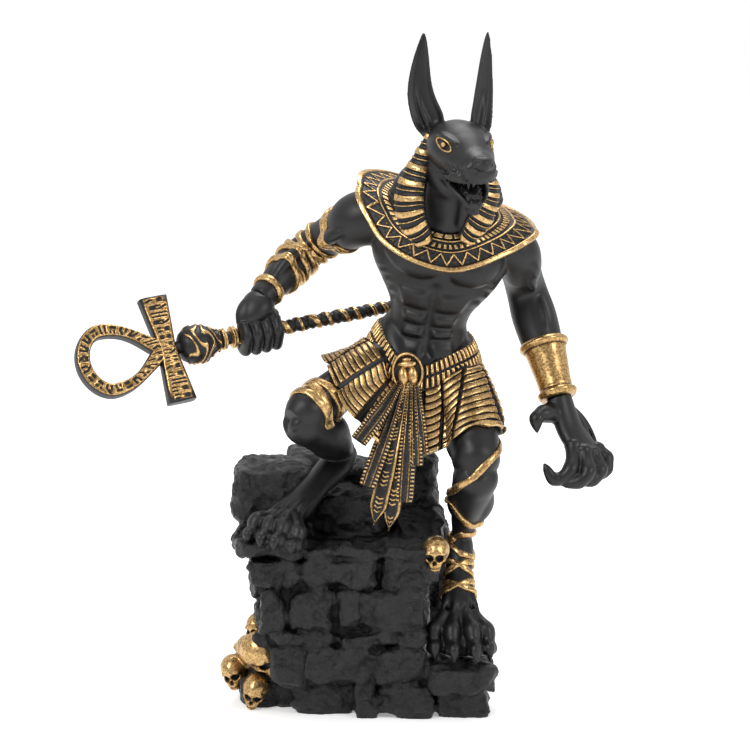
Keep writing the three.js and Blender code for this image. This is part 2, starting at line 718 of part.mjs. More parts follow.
function kiltAndBelt() {
  // Each strip has a groove at its start and two raised columns. The belt's bars stand on the same columns.
  const stripColumns = (_, strip) => [strip, strip + 0.12, strip + 0.62];
  const columns = Array.from({ length: KILT.strips }, stripColumns).flat();
  const ring = (down, height, inward = 0) =>
    columns.map((round, i) => {
      const place = onKilt(round, down, i % 3 ? height : Math.min(height, 0));
      return between(place, KILT_MIDDLE, inward);
    });
  const bars = (rise, height, inward = 0) =>
    columns.map((round, i) => {
      const place = onKilt(round, 0, height + (i % 2 ? 1.2 : 0)).add(point(0, 0, rise));
      return between(place, KILT_MIDDLE.clone().setZ(place.z), inward);
    });
  const tall = KILT.beltTall;
  const rows = [bars(tall, 0, 0.5), bars(tall, 0.8), bars(tall * 0.5, 1.6), bars(-0.4, 1.4)];
  rows.push(ring(0.05, 0.2));
  for (let rib = 0; rib < KILT.ribs; rib++) {
    rows.push(ring((rib + 0.35) / KILT.ribs, 1.6), ring((rib + 0.98) / KILT.ribs, 0.6));
  }
  rows.push(ring(0.8, -2, 0.3));
  return skin(rows);
}

// The oval clasp holds a beetle: a head band and two wing cases.
function clasp() {
  const middle = point(17.8, -17.6, 147.6);
  const face = heading(-0.12, -1, 0.12);
  const up = heading(-0.1, 0.1, 1);
  const across = point(0, 0, 0).crossVectors(face, up);
  const oval = (half, tall, out) =>
    Array.from({ length: 8 }, (_, i) => {
      const angle = (TURN * (i + 0.5)) / 8;
      return middle
        .clone()
        .addScaledVector(across, half * Math.cos(angle))
        .addScaledVector(up, tall * Math.sin(angle))
        .addScaledVector(face, out);
    });
  const frame = skin([oval(6.6, 8.2, -4), oval(6.8, 8.6, 1.2), oval(5.6, 7.3, 1.5), oval(5.2, 6.9, 0.2)]);
  const lump = (x, z, wide, tall) =>
    egg(
      middle.clone().addScaledVector(across, x).addScaledVector(up, z).addScaledVector(face, 0.4),
      up.clone().multiplyScalar(tall),
      wide,
      1.8,
      across,
    );
  return join([frame, lump(-2.2, -2.4, 2.1, 4.2), lump(2.2, -2.4, 2.1, 4.2), lump(0, 3.3, 4.4, 1.9)]);
}

// Seven bands fall from the clasp like a fan. The two longest end in a point.
const SASH = [
  { tip: point(-3.4, -42.5, 122), wide: 6, taper: 0 },
  { tip: point(0, -41, 101.5), wide: 6, taper: 0.3 },
  { tip: point(3, -40.6, 84.2), wide: 6.4, taper: 1 },
  { tip: point(9.4, -40.4, 81.6), wide: 6.4, taper: 1 },
  { tip: point(16, -38.6, 94), wide: 6.2, taper: 0.4 },
  { tip: point(21.2, -36.6, 109.6), wide: 5, taper: 0.3 },
  { tip: point(24.4, -35, 114.4), wide: 4, taper: 0 },
];

function sashBand({ tip, wide, taper }, order) {
  const start = point(14.2 + order * 1.25, -17.6 - 0.25 * order, 142.5);
  const bulge = between(start, tip, 0.42).add(point(0, -3.4 + (order % 2) * 0.7, 0));
  const line = new THREE.CatmullRomCurve3([start, bulge, tip], false, "catmullrom", 0.5);
  const face = heading(-0.12, -1, 0.15);
  const section = (share, half) => {
    const along = line.getTangent(share);
    const across = point(0, 0, 0).crossVectors(along, face).normalize();
    const out = point(0, 0, 0).crossVectors(across, along).normalize();
    const corner = (x, y) => line.getPoint(share).addScaledVector(across, x * half).addScaledVector(out, y);
    return [corner(-1, -1.8), corner(-0.84, 1), corner(0.84, 1), corner(1, -1.8)];
  };
  const halfAt = (share) => wide * (0.2 + 0.3 * Math.min(1, share * 1.6));
  const rows = (taper ? [0.08, 0.5, 0.9] : [0.08, 0.5]).map((share) => section(share, halfAt(share)));
  rows.push(section(1, halfAt(1) * (1 - 0.9 * taper)));
  return skin(rows);
}

const sash = () => join(SASH.map(sashBand));

// Two gilded straps wind down the left leg.
const windings = () =>
  join([
    strap(leftThigh, { from: 1.1, to: 1.78, wide: 2.8, start: 0.3, sweep: 3.4 }),
    strap(leftShank, { from: 0.75, to: 1.3, start: 3.5, sweep: 3.1 }),
  ]);

function makeFigure() {
  const body = join([
    trunk.solid(TRUNK_ANGLES),
    shoulders(),
    rightArm.solid(8),
    leftArm.solid(8),
    fist(),
    openHand(),
    cuff(),
    legs(),
    head(),
    ...EARS.map(ear),
    headCloth(),
    collar(),
    kiltAndBelt(),
    clasp(),
    sash(),
    windings(),
  ]);
  return body.subtract(shaft(SEAT_GAP)).subtract(footOfStaff(SEAT_GAP));
}

// The ruined wall: rough stones with narrow joints stand out from a plain core.
const chance = (seed) => {
  const wave = Math.sin(seed * 127.1) * 43758.5453;
  return wave - Math.floor(wave);
};

// A stone fills a box, with its corners moved at random and its outer face swollen. Its face looks along
// X or Y: "out" says which way.
function stone([x0, y0, z0], [x1, y1, z1], out, seed, rough = 1.4) {
  const low = point(x0, y0, z0);
  const size = point(x1, y1, z1).sub(low);
  const corner = (x, y, z) => {
    const key = seed + 3 * x + 7 * y + 11 * z;
    const shift = point(chance(key), chance(key + 0.3), chance(key + 0.7));
    shift.subScalar(0.5).multiplyScalar(rough);
    return point(x, y, z).multiply(size).add(low).add(shift);
  };
  const turns = [[0, 0], [0, 1], [1, 1], [1, 0]];
  const ring = (depth) =>
    turns.map(([a, z]) => {
      const far = out.x + out.y > 0 ? depth : 1 - depth;
      return out.x ? corner(far, a, z) : corner(a, far, z);
    });
  return skin([ring(0), ring(1)], false, out.clone().multiplyScalar(0.9 * chance(seed)));
}
const FRONT = point(0, -1, 0);
const BACK = point(0, 1, 0);
const LEFT = point(-1, 0, 0);
const RIGHT = point(1, 0, 0);

const LEG_CLEAR = 4; // the wall's right side starts behind the left leg
const WALL = {
  joint: 1, // the open width between two stones
  cores: [[[-34, -36, 0], [27, 30, 22]], [[-41, -42, 14], [27, 30, 73]]],
  stoneDeep: 10,
};
// Each course of the front: its floor and top, where its joints are, and how far out each stone's face is.
const FRONT_COURSES = [
  { floor: 0, top: 15.4, joints: [-33, -6, 4.5, 29], faces: [-40.5, -46, -46.5] },
  { floor: 15.6, top: 31.4, joints: [-42, -27, 2.5, 26.5], faces: [-44, -46.5, -47.5] },
  { floor: 31.6, top: 38.4, joints: [-42, -12, 13, 26], faces: [-46, -48.5, -47] },
  { floor: 38.6, top: 57.4, joints: [-46.5, -35, -14, -3.5, 27], faces: [-46, -47, -46.5, -47.5] },
  { floor: 57.6, top: 70.4, joints: [-51.5, -28, 5.5, 31.5], faces: [-46, -47.5, -46] },
  { floor: 70.6, top: 77, joints: [-28, 6, 31], faces: [-45.5, -46.5] },
];
// Each course of the sides and the back: its floor and top, its faces, and where the side joints are.
const SIDE_COURSES = [
  { floor: 0, top: 24, left: -40, right: 37, back: 38, joint: 2 },
  { floor: 24.5, top: 49, left: -48.5, right: 37.5, back: 36.5, joint: -12 },
  { floor: 49.5, top: 73, left: -50.5, right: 37, back: 35, joint: 4 },
];

function frontCourse({ floor, top, joints, faces }, order) {
  const gap = WALL.joint / 2;
  return faces.map((face, i) => {
    const low = [joints[i] + gap, face, floor + gap];
    const high = [joints[i + 1] - gap, face + WALL.stoneDeep, top - gap];
    return stone(low, high, FRONT, order * 11 + i);
  });
}

function sideCourse({ floor, top, left, right, back, joint }, order) {
  const gap = WALL.joint / 2;
  const deep = WALL.stoneDeep;
  const [near, far] = [floor ? -38 : -30, back - 1];
  const along = (x0, x1, y0, y1, face, turn) =>
    stone([x0, y0 + gap, floor + gap], [x1, y1 - gap, top - gap], face, order * 17 + turn);
  const middle = (left + right) / 2 + 8 * (order - 1);
  return [
    along(left, left + deep, near, joint, LEFT, 1),
    along(left + 1, left + deep, joint, far, LEFT, 2),
    along(right - deep, right, LEG_CLEAR, far, RIGHT, 3),
    along(left + 6, middle, back - deep, back, BACK, 4),
    along(middle + WALL.joint, right - 4, back - deep, back + 1, BACK, 5),
  ];
}

// The big stones on top and the ledge under the left foot, each by its lowest and highest corner.
const TOP_STONES = [
  [[-57.6, -48, 71.5], [-27, -10, 79.5]],
  [[-58.6, -20, 78.5], [-24, 12, 105]],
  [[-36, 4, 72], [-18, 27, 107]],
  [[-26, -14, 72], [8, 34, 92]],
  [[-20, 8, 91], [4, 30, 101]],
  [[4, 2, 72], [31, 34, 91]],
  [[11, 4, 90], [31.5, 24, 105]],
  [[12, -16, 69], [33, 16, 83]],
];
const LEDGE = [
  [[26, -52, 12], [56, -20, 24.2]],
  [[30, -46, 0], [53, -18, 13]],
];

// A skull: a round brain case, a narrow face, and two deep eye holes.
function skullAt({ at: middle, size, facing, crown, open = true }) {
  const aside = point(0, 0, 0).crossVectors(facing, crown).normalize();
  const up = point(0, 0, 0).crossVectors(aside, facing).normalize();
  const on = (ahead, side, high) =>
    middle
      .clone()
      .addScaledVector(facing, ahead * size)
      .addScaledVector(aside, side * size)
      .addScaledVector(up, high * size);
  const round = { sides: 6, sections: size > 7 ? LARGE_EGG : SMALL_EGG };
  const reach = facing.clone().multiplyScalar(size * 1.1);
  const brain = egg(middle, reach, size * 0.98, size * 1.05, aside, round);
  const face = new Limb(
    [on(0.66, 0, 0.1), on(0.7, 0, -1.2)],
    [[0, size * 0.62, size * 0.42], [1, size * 0.36, size * 0.32]],
    aside,
  ).solid(5);
  if (!open) return join([brain, face]);
  const holes = [-0.3, 0.3].map((side) =>
    new Limb(
      [on(1.3, side, -0.3), on(0.75, side * 0.8, -0.2)],
      [[0, size * 0.27, size * 0.27], [1, size * 0.14, size * 0.14]],
      aside,
    ).solid(4),
  );
  return join([brain, face]).subtract(join(holes));
}

const SKULLS = [
  {
    at: point(-45.5, -30, 19.5),
    size: 8.6,
    facing: heading(0.8, -0.55, -0.3),
    crown: point(-0.2, -0.4, 1),
  },
  {
    at: point(-51.5, -17, 22),
    size: 8,
    facing: heading(-0.6, 0.6, 0.2),
    crown: point(0, 0, 1),
    open: false,
  },
  { at: point(-48.5, -22, 34.5), size: 5.4, facing: heading(-0.5, -0.8, -0.1), crown: point(0, 0, 1) },
  { at: point(-59, -21, 14.5), size: 6, facing: heading(-0.25, -0.9, -0.25), crown: point(-0.3, 0, 1) },
  { at: point(-49, -31, 8.5), size: 6, facing: heading(-0.2, -0.85, -0.35), crown: point(0.2, -0.1, 1) },
  { at: point(30.5, -39, 75), size: 5.4, facing: heading(-0.25, -0.95, -0.12), crown: point(0, 0, 1) },
];

function makeWall() {
  const blocks = [
    ...WALL.cores.map((corners) => stone(...corners, FRONT, 5, 0)),
    ...FRONT_COURSES.flatMap(frontCourse),
    ...SIDE_COURSES.flatMap(sideCourse),
    ...TOP_STONES.map((corners, i) => stone(...corners, FRONT, 60 + i, 2.4)),
    ...LEDGE.map((corners, i) => stone(...corners, FRONT, 80 + i, 0.4)),
  ];
  const rubblePile = [[0, 11, 18], [0.6, 10, 16], [1, 7, 9]];
  const rubble = new Limb([point(-46, -12, 0), point(-45, -12, 28)], rubblePile);
  const whole = join([...blocks, rubble.solid(8), ...SKULLS.map(skullAt)]);
  const floor = solid(new THREE.BoxGeometry(400, 400, 100).translate(0, 0, -50));
  return whole.subtract(floor).subtract(rightFoot(SEAT_GAP));
}

function meshOf(name, whole, colour, roughness, metalness) {
  const { vertProperties, triVerts, numProp, numVert } = whole.getMesh();
  const places = new Float32Array(numVert * 3);
  for (let i = 0; i < numVert; i++) {
    places.set(vertProperties.subarray(i * numProp, i * numProp + 3), i * 3);
  }
  const geometry = new THREE.BufferGeometry();
  geometry.setAttribute("position", new THREE.BufferAttribute(places, 3));
  geometry.setIndex(new THREE.BufferAttribute(triVerts, 1));
  const material = new THREE.MeshStandardMaterial({ color: colour, roughness, metalness });
  const mesh = new THREE.Mesh(geometry, material);
  mesh.name = name;
  return mesh;
}

const statue = new THREE.Group();
statue.add(meshOf("figure", makeFigure(), 0x2b2b2d, 0.5, 0));
statue.add(meshOf("ankh_staff", makeStaff(), 0xb8893f, 0.4, 0.8));
statue.add(meshOf("ruined_wall_base", makeWall(), 0x3a3a3c, 0.6, 0));

export default statue;
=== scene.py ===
# Jackal-headed statue that steps over a ruined wall: cast resin, satin black with antique gold paint.
# Shapes are worked out in millimetres, in the part's own frame, and go into Blender in metres.
# X runs to the viewer's right, Y away from the viewer, Z up. Left and right are the figure's own.
from math import cos, pi, radians, sin
import bmesh
import bpy
import numpy as np
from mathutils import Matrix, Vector


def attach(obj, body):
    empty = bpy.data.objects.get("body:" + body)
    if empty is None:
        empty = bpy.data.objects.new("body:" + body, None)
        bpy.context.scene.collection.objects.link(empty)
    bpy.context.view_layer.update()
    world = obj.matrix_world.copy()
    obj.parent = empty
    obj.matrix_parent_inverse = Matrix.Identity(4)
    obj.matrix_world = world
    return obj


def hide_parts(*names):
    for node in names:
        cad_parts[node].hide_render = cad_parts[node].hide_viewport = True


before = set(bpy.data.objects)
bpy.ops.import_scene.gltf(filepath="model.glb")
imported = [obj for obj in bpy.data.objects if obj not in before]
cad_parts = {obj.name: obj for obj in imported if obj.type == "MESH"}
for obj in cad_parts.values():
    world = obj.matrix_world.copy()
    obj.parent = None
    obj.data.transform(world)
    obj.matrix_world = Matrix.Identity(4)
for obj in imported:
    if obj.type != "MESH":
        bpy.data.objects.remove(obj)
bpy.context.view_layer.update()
turn = 2 * pi
metre = 0.001  # metres in a millimetre
print("frame loaded")


# Numbers and curves

def vec(x, y, z):
    # three numbers as an array
    return np.array([x, y, z], float)


def unit(v):
    # each vector divided by its length
    return v / np.linalg.norm(v, axis=-1, keepdims=True)


def mix(a, b, t):
    # a + (b - a) times t
    return a + (b - a) * t


def ease(t):
    # 0 below 0, 1 above 1, and 3 t squared - 2 t cubed between
    t = np.clip(t, 0, 1)
    return t * t * (3 - 2 * t)


def plateau(x, low, high, soft):
    # 1 between low and high, 0 outside, with an S curve of width soft inside each end
    return ease((x - low) / soft) * ease((high - x) / soft)


def bell(x, middle, width):
    # a smooth hill of height 1: e to the minus (distance / width) squared
    return np.exp(-(((x - middle) / width) ** 2))


def apart(a, b):
    # the shortest way between two angles in degrees, from -180 to 180
    return (a - b + 180) % 360 - 180


def boxy(w, power):
    # the sign of w times its size to a power: cos and sin so treated turn a circle into a rounded box
    return np.sign(w) * np.abs(w) ** power


upward = vec(0, 0, 1)


def sweep(count, whole=turn):
    # even steps round one turn as one row, in radians, or in shares where whole is 1; the end is left out
    return np.linspace(0, whole, count, endpoint=False)[None, :]


def climb(count, low=0.0, high=1.0):
    # even steps from low to high as one column
    return np.linspace(low, high, count)[:, None]


def noise(p, size, seed=0):
    # value noise from -1 to 1: random numbers on a lattice of this size, blended by an S curve
    q = p / size
    cell = np.floor(q)
    part = ease(q - cell)
    total = 0
    for corner in np.ndindex(2, 2, 2):
        share = np.prod(np.where(corner, part, 1 - part), axis=-1)
        wave = np.sin((cell + corner) @ np.array([127.1, 311.7, 74.7]) + seed * 19.7) * 43758.5453
        total = total + share * (wave - np.floor(wave))
    return total * 2 - 1


def hashOf(*cells):
    # a number from 0 to 1 for each cell: the fraction of a large sine
    wave = np.sin(sum(cell * step for cell, step in zip(cells, (12.99, 78.23, 37.7)))) * 43758.5453
    return wave - np.floor(wave)


def spline(points, t, closed=False):
    # Catmull-Rom: a cubic through the points; t runs from 0 to 1 over all of it
    p = np.asarray(points, float)
    count = len(p)
    t = np.asarray(t, float)
    if closed:
        s = (t % 1) * count
        i = np.floor(s).astype(int)
        a, b, c, d = p[(i - 1) % count], p[i % count], p[(i + 1) % count], p[(i + 2) % count]
    else:
        s = np.clip(t, 0, 1) * (count - 1)
        i = np.minimum(np.floor(s).astype(int), count - 2)
        ends = np.vstack([2 * p[0] - p[1], p, 2 * p[-1] - p[-2]])
        a, b, c, d = ends[i], ends[i + 1], ends[i + 2], ends[i + 3]
    f = (s - i)[..., None]
    return b + 0.5 * f * (c - a + f * (2 * a - 5 * b + 4 * c - d + f * (3 * (b - c) + d - a)))


def smoothRows(x, table):
    # columns of a table read at x, by cubic pieces whose slopes are those of the neighbours
    table = np.asarray(table, float)
    at, values = table[:, 0], table[:, 1:]
    slope = np.gradient(values, at, axis=0)
    i = np.clip(np.searchsorted(at, x, side="right") - 1, 0, len(at) - 2)
    gap = at[i + 1] - at[i]
    t = np.clip((x - at[i]) / gap, 0, 1)[..., None]
    gap = gap[..., None]
    a, b = values[i], values[i + 1]
    return (
        (2 * t**3 - 3 * t**2 + 1) * a
        + (t**3 - 2 * t**2 + t) * gap * slope[i]
        + (3 * t**2 - 2 * t**3) * b
        + (t**3 - t**2) * gap * slope[i + 1]
    )


def pathFrame(joints, t, side, closed=False):
    # a place on the path, the side turned square to the path's direction, and depth = direction x side
    step = 1e-3
    middle = spline(joints, t, closed)
    if closed:
        along = unit(spline(joints, t + step, True) - spline(joints, t - step, True))
    else:
        along = unit(spline(joints, np.minimum(t + step, 1)) - spline(joints, np.maximum(t - step, 0)))
    across = unit(side - np.sum(side * along, -1, keepdims=True) * along)
    return middle, across, np.cross(along, across)


def laid(middle, across, x, out, y):
    # middle + across x x + out x y, at each corner of a grid
    return middle + across * x[..., None] + out * y[..., None]


class Limb:
    # a tube along joints; each section holds its place, counted in joints, its half width and its half depth
    def __init__(self, joints, sections, side=(1, 0, 0)):
        self.joints = joints
        self.spans = len(joints) - 1
        self.sections = np.array(sections, float)
        self.side = np.asarray(side, float)

    def at(self, spot, angle, proud=0):
        # middle + side x (half width + proud) x cos + depth x (half depth + proud) x sin
        spot, angle, proud = np.broadcast_arrays(spot, angle, proud)
        middle, across, depth = pathFrame(self.joints, spot / self.spans, self.side)
        wide, deep = np.moveaxis(smoothRows(spot, self.sections), -1, 0)
        return laid(middle, across, (wide + proud) * np.cos(angle), depth, (deep + proud) * np.sin(angle))

    def skin(self, rows=70, around=44, relief=None):
        # the whole tube as a grid, raised by relief(place, degrees)
        spot, angle = climb(rows, self.sections[0][0], self.sections[-1][0]), sweep(around)
        return self.at(spot, angle, relief(spot, np.degrees(angle)) if relief else 0)


def muscle(start, end, thick, wide=None, side=(0, 1, 0), bow=(0, 0, 0)):
    # a spindle: radius = thick x (sin pi t) to the 0.6, round a line that bows out by bow x sin pi t
    t, angle = climb(26, 0.004, 0.996), sweep(20)
    start, end, side = (np.asarray(v, float) for v in (start, end, side))
    along = unit(end - start)
    across = unit(side - np.dot(side, along) * along)
    depth = np.cross(along, across)
    swell = np.sin(pi * t) ** 0.6
    middle = start + (end - start) * t[..., None] + np.asarray(bow, float) * (np.sin(pi * t))[..., None]
    broad, deep = (swell * (wide or thick))[..., None], (swell * thick)[..., None]
    return middle + across * broad * np.cos(angle)[..., None] + depth * deep * np.sin(angle)[..., None]


# Meshes

def gridFaces(rows, around, tyre, offset):
    # quads between neighbouring rows, counted row by row; a tyre's last row joins its first
    i = np.arange(rows if tyre else rows - 1)[:, None]
    j = np.arange(around)[None, :]
    ahead, beside = (i + 1) % rows * around, (j + 1) % around
    corners = [i * around + j, i * around + beside, ahead + beside, ahead + j]
    return np.stack(corners, -1).reshape(-1, 4) + offset


def surfaces(name, grids, tyre=False):
    # several closed grids in one mesh; each grid is (rows, around, 3), and the open ends of a tube get a cap
    places, quads, caps, offset = [], [], [], 0
    for grid in grids:
        rows, around = grid.shape[:2]
        places.append(grid.reshape(-1, 3))
        quads.append(gridFaces(rows, around, tyre, offset))
        if not tyre:
            caps.append(tuple(range(offset + around - 1, offset - 1, -1)))
            caps.append(tuple(range(offset + (rows - 1) * around, offset + rows * around)))
        offset += rows * around
    mesh = bpy.data.meshes.new(name)
    mesh.from_pydata((np.vstack(places) * metre).tolist(), [], [*map(tuple, np.vstack(quads).tolist()), *caps])
    mesh.validate()
    mesh.update()
    return mesh


def outward(mesh):
    # turns every face out from the closed shape that it belongs to
    work = bmesh.new()
    work.from_mesh(mesh)
    bmesh.ops.recalc_face_normals(work, faces=work.faces)
    work.to_mesh(mesh)
    work.free()
    return mesh


def place(mesh, name, smooth=True):
    # a mesh as a smooth-shaded object at the origin
    mesh.polygons.foreach_set("use_smooth", np.full(len(mesh.polygons), smooth))
    piece = bpy.data.objects.new(name, mesh)
    bpy.context.scene.collection.objects.link(piece)
    return piece


def evaluated(piece):
    # a new mesh of the piece with its modifiers applied
    return bpy.data.meshes.new_from_object(piece.evaluated_get(bpy.context.evaluated_depsgraph_get()))


def clay(name, grids, voxel, passes):
    # closed surfaces are merged by a voxel remesh, and then smoothed half way in each pass, like a modelled original
    rough = place(outward(surfaces(name + "Rough", grids)), name + "Rough")
    remesh = rough.modifiers.new("merge", "REMESH")
    remesh.mode = "VOXEL"
    remesh.voxel_size = voxel * metre
    soften = rough.modifiers.new("soften", "SMOOTH")
    soften.factor = 0.5
    soften.iterations = passes
    done = evaluated(rough)
    mesh = rough.data
    bpy.data.objects.remove(rough)
    bpy.data.meshes.remove(mesh)
    done.name = name
    return place(done, name)


def pointsOf(piece):
    # the corner points in millimetres, and their normals
    places = np.empty(len(piece.data.vertices) * 3)
    piece.data.vertices.foreach_get("co", places)
    normals = np.empty_like(places)
    piece.data.vertices.foreach_get("normal", normals)
    return places.reshape(-1, 3) / metre, normals.reshape(-1, 3)


def movePoints(piece, places):
    # puts the corner points back, from millimetres
    piece.data.vertices.foreach_set("co", (places * metre).ravel())
    piece.data.update()


def setGild(piece, numbers):
    # the share of gold at each corner point: 1 on raised gold, 0 in black hollows
    piece.data.attributes.new("gild", "FLOAT", "POINT").data.foreach_set("value", np.float32(numbers).ravel())


# Materials

def linear(code):
    # an sRGB hex code as linear light: c / 12.92 where dark, else ((c + 0.055) / 1.055) to the 2.4; alpha is 1
    parts = [int(code[i : i + 2], 16) / 255 for i in (0, 2, 4)]
    return [c / 12.92 if c <= 0.04045 else ((c + 0.055) / 1.055) ** 2.4 for c in parts] + [1]


def per(size):
    # texture scale: how many features of this size in millimetres go into a metre
    return 1 / (size * metre)


def node(tree, kind, settings=None, links=None):
    # adds a shader node; settings are its properties or input values, links feed its inputs
    made = tree.nodes.new("ShaderNode" + kind)
    for key, value in (settings or {}).items():
        if isinstance(key, str) and hasattr(made, key):
            setattr(made, key, value)
        else:
            made.inputs[key].default_value = value
    for key, source in (links or {}).items():
        tree.links.new(source, made.inputs[key])
    return made


def newMaterial(name):
    # an empty material, its node tree and its output node
    material = bpy.data.materials.new(name)
    material.use_nodes = True
    material.node_tree.nodes.clear()
    return material, material.node_tree, node(material.node_tree, "OutputMaterial")


resinLook = {
    "black": "0d0d0f", "worn": "19191b", "rubbed": 0.55, "rough": 0.43, "patchSize": 9.0, "grain": 0.5,
    "grainDepth": 0.05, "shine": 0.4,
}


def blackResin():
    # satin black acrylic on cast resin: an even soft sheen, a little paler where hands have rubbed it
    look = resinLook
    material, tree, out = newMaterial("satinBlackResin")
    where = node(tree, "TexCoord").outputs["Object"]
    patches = node(tree, "TexNoise", {"Scale": per(look["patchSize"]), "Detail": 3.0}, {"Vector": where}).outputs[0]
    band = node(tree, "MapRange", {1: 0.4, 2: 0.9, 3: 0.0, 4: look["rubbed"]}, {0: patches})
    colour = node(
        tree, "Mix", {"data_type": "RGBA", 6: linear(look["black"]), 7: linear(look["worn"])}, {0: band.outputs[0]},
    )
    rough = node(tree, "MapRange", {1: 0.3, 2: 0.7, 3: look["rough"] - 0.05, 4: look["rough"] + 0.06}, {0: patches})
    grain = node(tree, "TexNoise", {"Scale": per(look["grain"]), "Detail": 2.0}, {"Vector": where})
    bump = node(tree, "Bump", {"Strength": 0.5, "Distance": look["grainDepth"] * metre}, {"Height": grain.outputs[0]})
    shader = node(
        tree, "BsdfPrincipled", {"Specular IOR Level": look["shine"]},
        {"Base Color": colour.outputs[2], "Roughness": rough.outputs[0], "Normal": bump.outputs[0]},
    )
    tree.links.new(shader.outputs[0], out.inputs[0])
    return material


goldLook = {
    "gold": "a17a45", "paleGold": "e0c08a", "umber": "33210f", "black": "0d0d0f", "blackRough": 0.46, "shine": 0.4,
    "brushSize": 1.0, "broken": 1.15, "grainSize": 0.3, "grainDepth": 0.03, "rough": 0.27, "metal": 0.9,
}


def giltResin():
    # gold paint dragged over black resin: the attribute gild is 1 on raised work, where the brush reached, and 0 in
    # hollows, which stay black; noise breaks the edge, and an umber tone darkens the gold where the brush runs thin
    # and, as painted shade, next to the hollows
    look = goldLook
    material, tree, out = newMaterial("antiqueGoldPaint")
    where = node(tree, "TexCoord").outputs["Object"]
    gild = node(tree, "Attribute", {"attribute_name": "gild"}).outputs["Fac"]
    brush = node(
        tree, "TexNoise", {"Scale": per(look["brushSize"]), "Detail": 5.0, "Roughness": 0.65}, {"Vector": where},
    ).outputs[0]
    # reached = gild + broken x (brush - 0.5)
    spread = node(tree, "Math", {"operation": "MULTIPLY_ADD", 1: look["broken"], 2: -look["broken"] / 2}, {0: brush})
    reached = node(tree, "Math", {"operation": "ADD"}, {0: gild, 1: spread.outputs[0]}).outputs[0]
    cover = node(tree, "MapRange", {1: 0.46, 2: 0.62, 3: 0.0, 4: 1.0}, {0: reached})
    bright = node(tree, "MapRange", {1: 0.75, 2: 1.25, 3: 0.0, 4: 1.0}, {0: reached})
    # umber where the brush runs thin, and painted shade along the gold's edge next to the hollows
    brushAndShade = node(tree, "MapRange", {1: 0.5, 2: 0.98, 3: 0.2, 4: 1.0}, {0: reached})
    warm = node(
        tree, "Mix", {"data_type": "RGBA", 6: linear(look["gold"]), 7: linear(look["paleGold"])},
        {0: bright.outputs[0]},
    )
    brushedAndShaded = node(
        tree, "Mix", {"data_type": "RGBA", 6: linear(look["umber"])}, {0: brushAndShade.outputs[0], 7: warm.outputs[2]},
    )
    grain = node(tree, "TexNoise", {"Scale": per(look["grainSize"]), "Detail": 2.0}, {"Vector": where})
    bump = node(tree, "Bump", {"Strength": 0.5, "Distance": look["grainDepth"] * metre}, {"Height": grain.outputs[0]})
    rough = node(tree, "MapRange", {1: 0.3, 2: 0.7, 3: look["rough"] - 0.06, 4: look["rough"] + 0.1}, {0: brush})
    black = node(
        tree, "BsdfPrincipled",
        {"Base Color": linear(look["black"]), "Roughness": look["blackRough"], "Specular IOR Level": look["shine"]},
        {"Normal": bump.outputs[0]},
    )
    gold = node(
        tree, "BsdfPrincipled", {"Metallic": look["metal"]},
        {"Base Color": brushedAndShaded.outputs[2], "Roughness": rough.outputs[0], "Normal": bump.outputs[0]},
    )
    both = node(tree, "MixShader", {}, {0: cover.outputs[0], 1: black.outputs[0], 2: gold.outputs[0]})
    tree.links.new(both.outputs[0], out.inputs[0])
    return material


stoneLook = {
    "black": "060607", "dust": "141416", "dusty": 0.7, "rough": 0.36, "shine": 0.42, "patchSize": 6.0,
    "gritSize": 0.8, "gritDepth": 0.1, "chipSize": 3.4, "chipDepth": 1.5, "facetSize": 6.0, "facetDepth": 2.0,
}


def stoneResin():
    # the same black paint on a surface cast from rough stone: broken facets, chips and grit that catch the light, with
    # dry-brushed grey on the grit
    look = stoneLook
    material, tree, out = newMaterial("blackStoneResin")
    where = {"Vector": node(tree, "TexCoord").outputs["Object"]}
    patches = node(tree, "TexNoise", {"Scale": per(look["patchSize"]), "Detail": 6.0}, where)
    grit = node(tree, "TexNoise", {"Scale": per(look["gritSize"]), "Detail": 4.0, "Roughness": 0.6}, where)
    chips = node(tree, "TexNoise", {"Scale": per(look["chipSize"]), "Detail": 6.0, "Roughness": 0.7}, where)
    cracks = node(tree, "TexVoronoi", {"Scale": per(look["facetSize"]), "Randomness": 1.0}, where)
    dusty = node(tree, "Math", {"operation": "MULTIPLY"}, {0: patches.outputs[0], 1: grit.outputs[0]})
    band = node(tree, "MapRange", {1: 0.18, 2: 0.42, 3: 0.0, 4: look["dusty"]}, {0: dusty.outputs[0]})
    colour = node(
        tree, "Mix", {"data_type": "RGBA", 6: linear(look["black"]), 7: linear(look["dust"])}, {0: band.outputs[0]},
    )
    bump = node(
        tree, "Bump", {"Strength": 0.9, "Distance": look["facetDepth"] * metre}, {"Height": cracks.outputs["Distance"]},
    )
    for height, strength, depth in ((chips, 1.0, look["chipDepth"]), (grit, 0.5, look["gritDepth"])):
        bump = node(
            tree, "Bump", {"Strength": strength, "Distance": depth * metre},
            {"Height": height.outputs[0], "Normal": bump.outputs[0]},
        )
    shader = node(
        tree, "BsdfPrincipled", {"Roughness": look["rough"], "Specular IOR Level": look["shine"]},
        {"Base Color": colour.outputs[2], "Normal": bump.outputs[0]},
    )
    tree.links.new(shader.outputs[0], out.inputs[0])
    return material


# each finish is a material and the record's slot for it
resin, gilt = (blackResin(), "black_resin"), (giltResin(), "gold_paint")
stoneBlack = (stoneResin(), "black_stone")
fullGild = 0.95  # the gilding of a surface that the brush covered all over
detail = {"whole": 12000, "share": 0.38}
print("materials done")


def thin(piece):
    # a piece keeps whole + share x (its triangles - whole), flat places go first, and the scene stays under a million
    piece.data.calc_loop_triangles()
    count = len(piece.data.loop_triangles)
    if count <= detail["whole"]:
        return
    modifier = piece.modifiers.new("thin", "DECIMATE")
    modifier.ratio = (detail["whole"] + detail["share"] * (count - detail["whole"])) / count
    full = piece.data
    piece.data = evaluated(piece)
    piece.modifiers.clear()
    bpy.data.meshes.remove(full)
    piece.data.name = piece.name


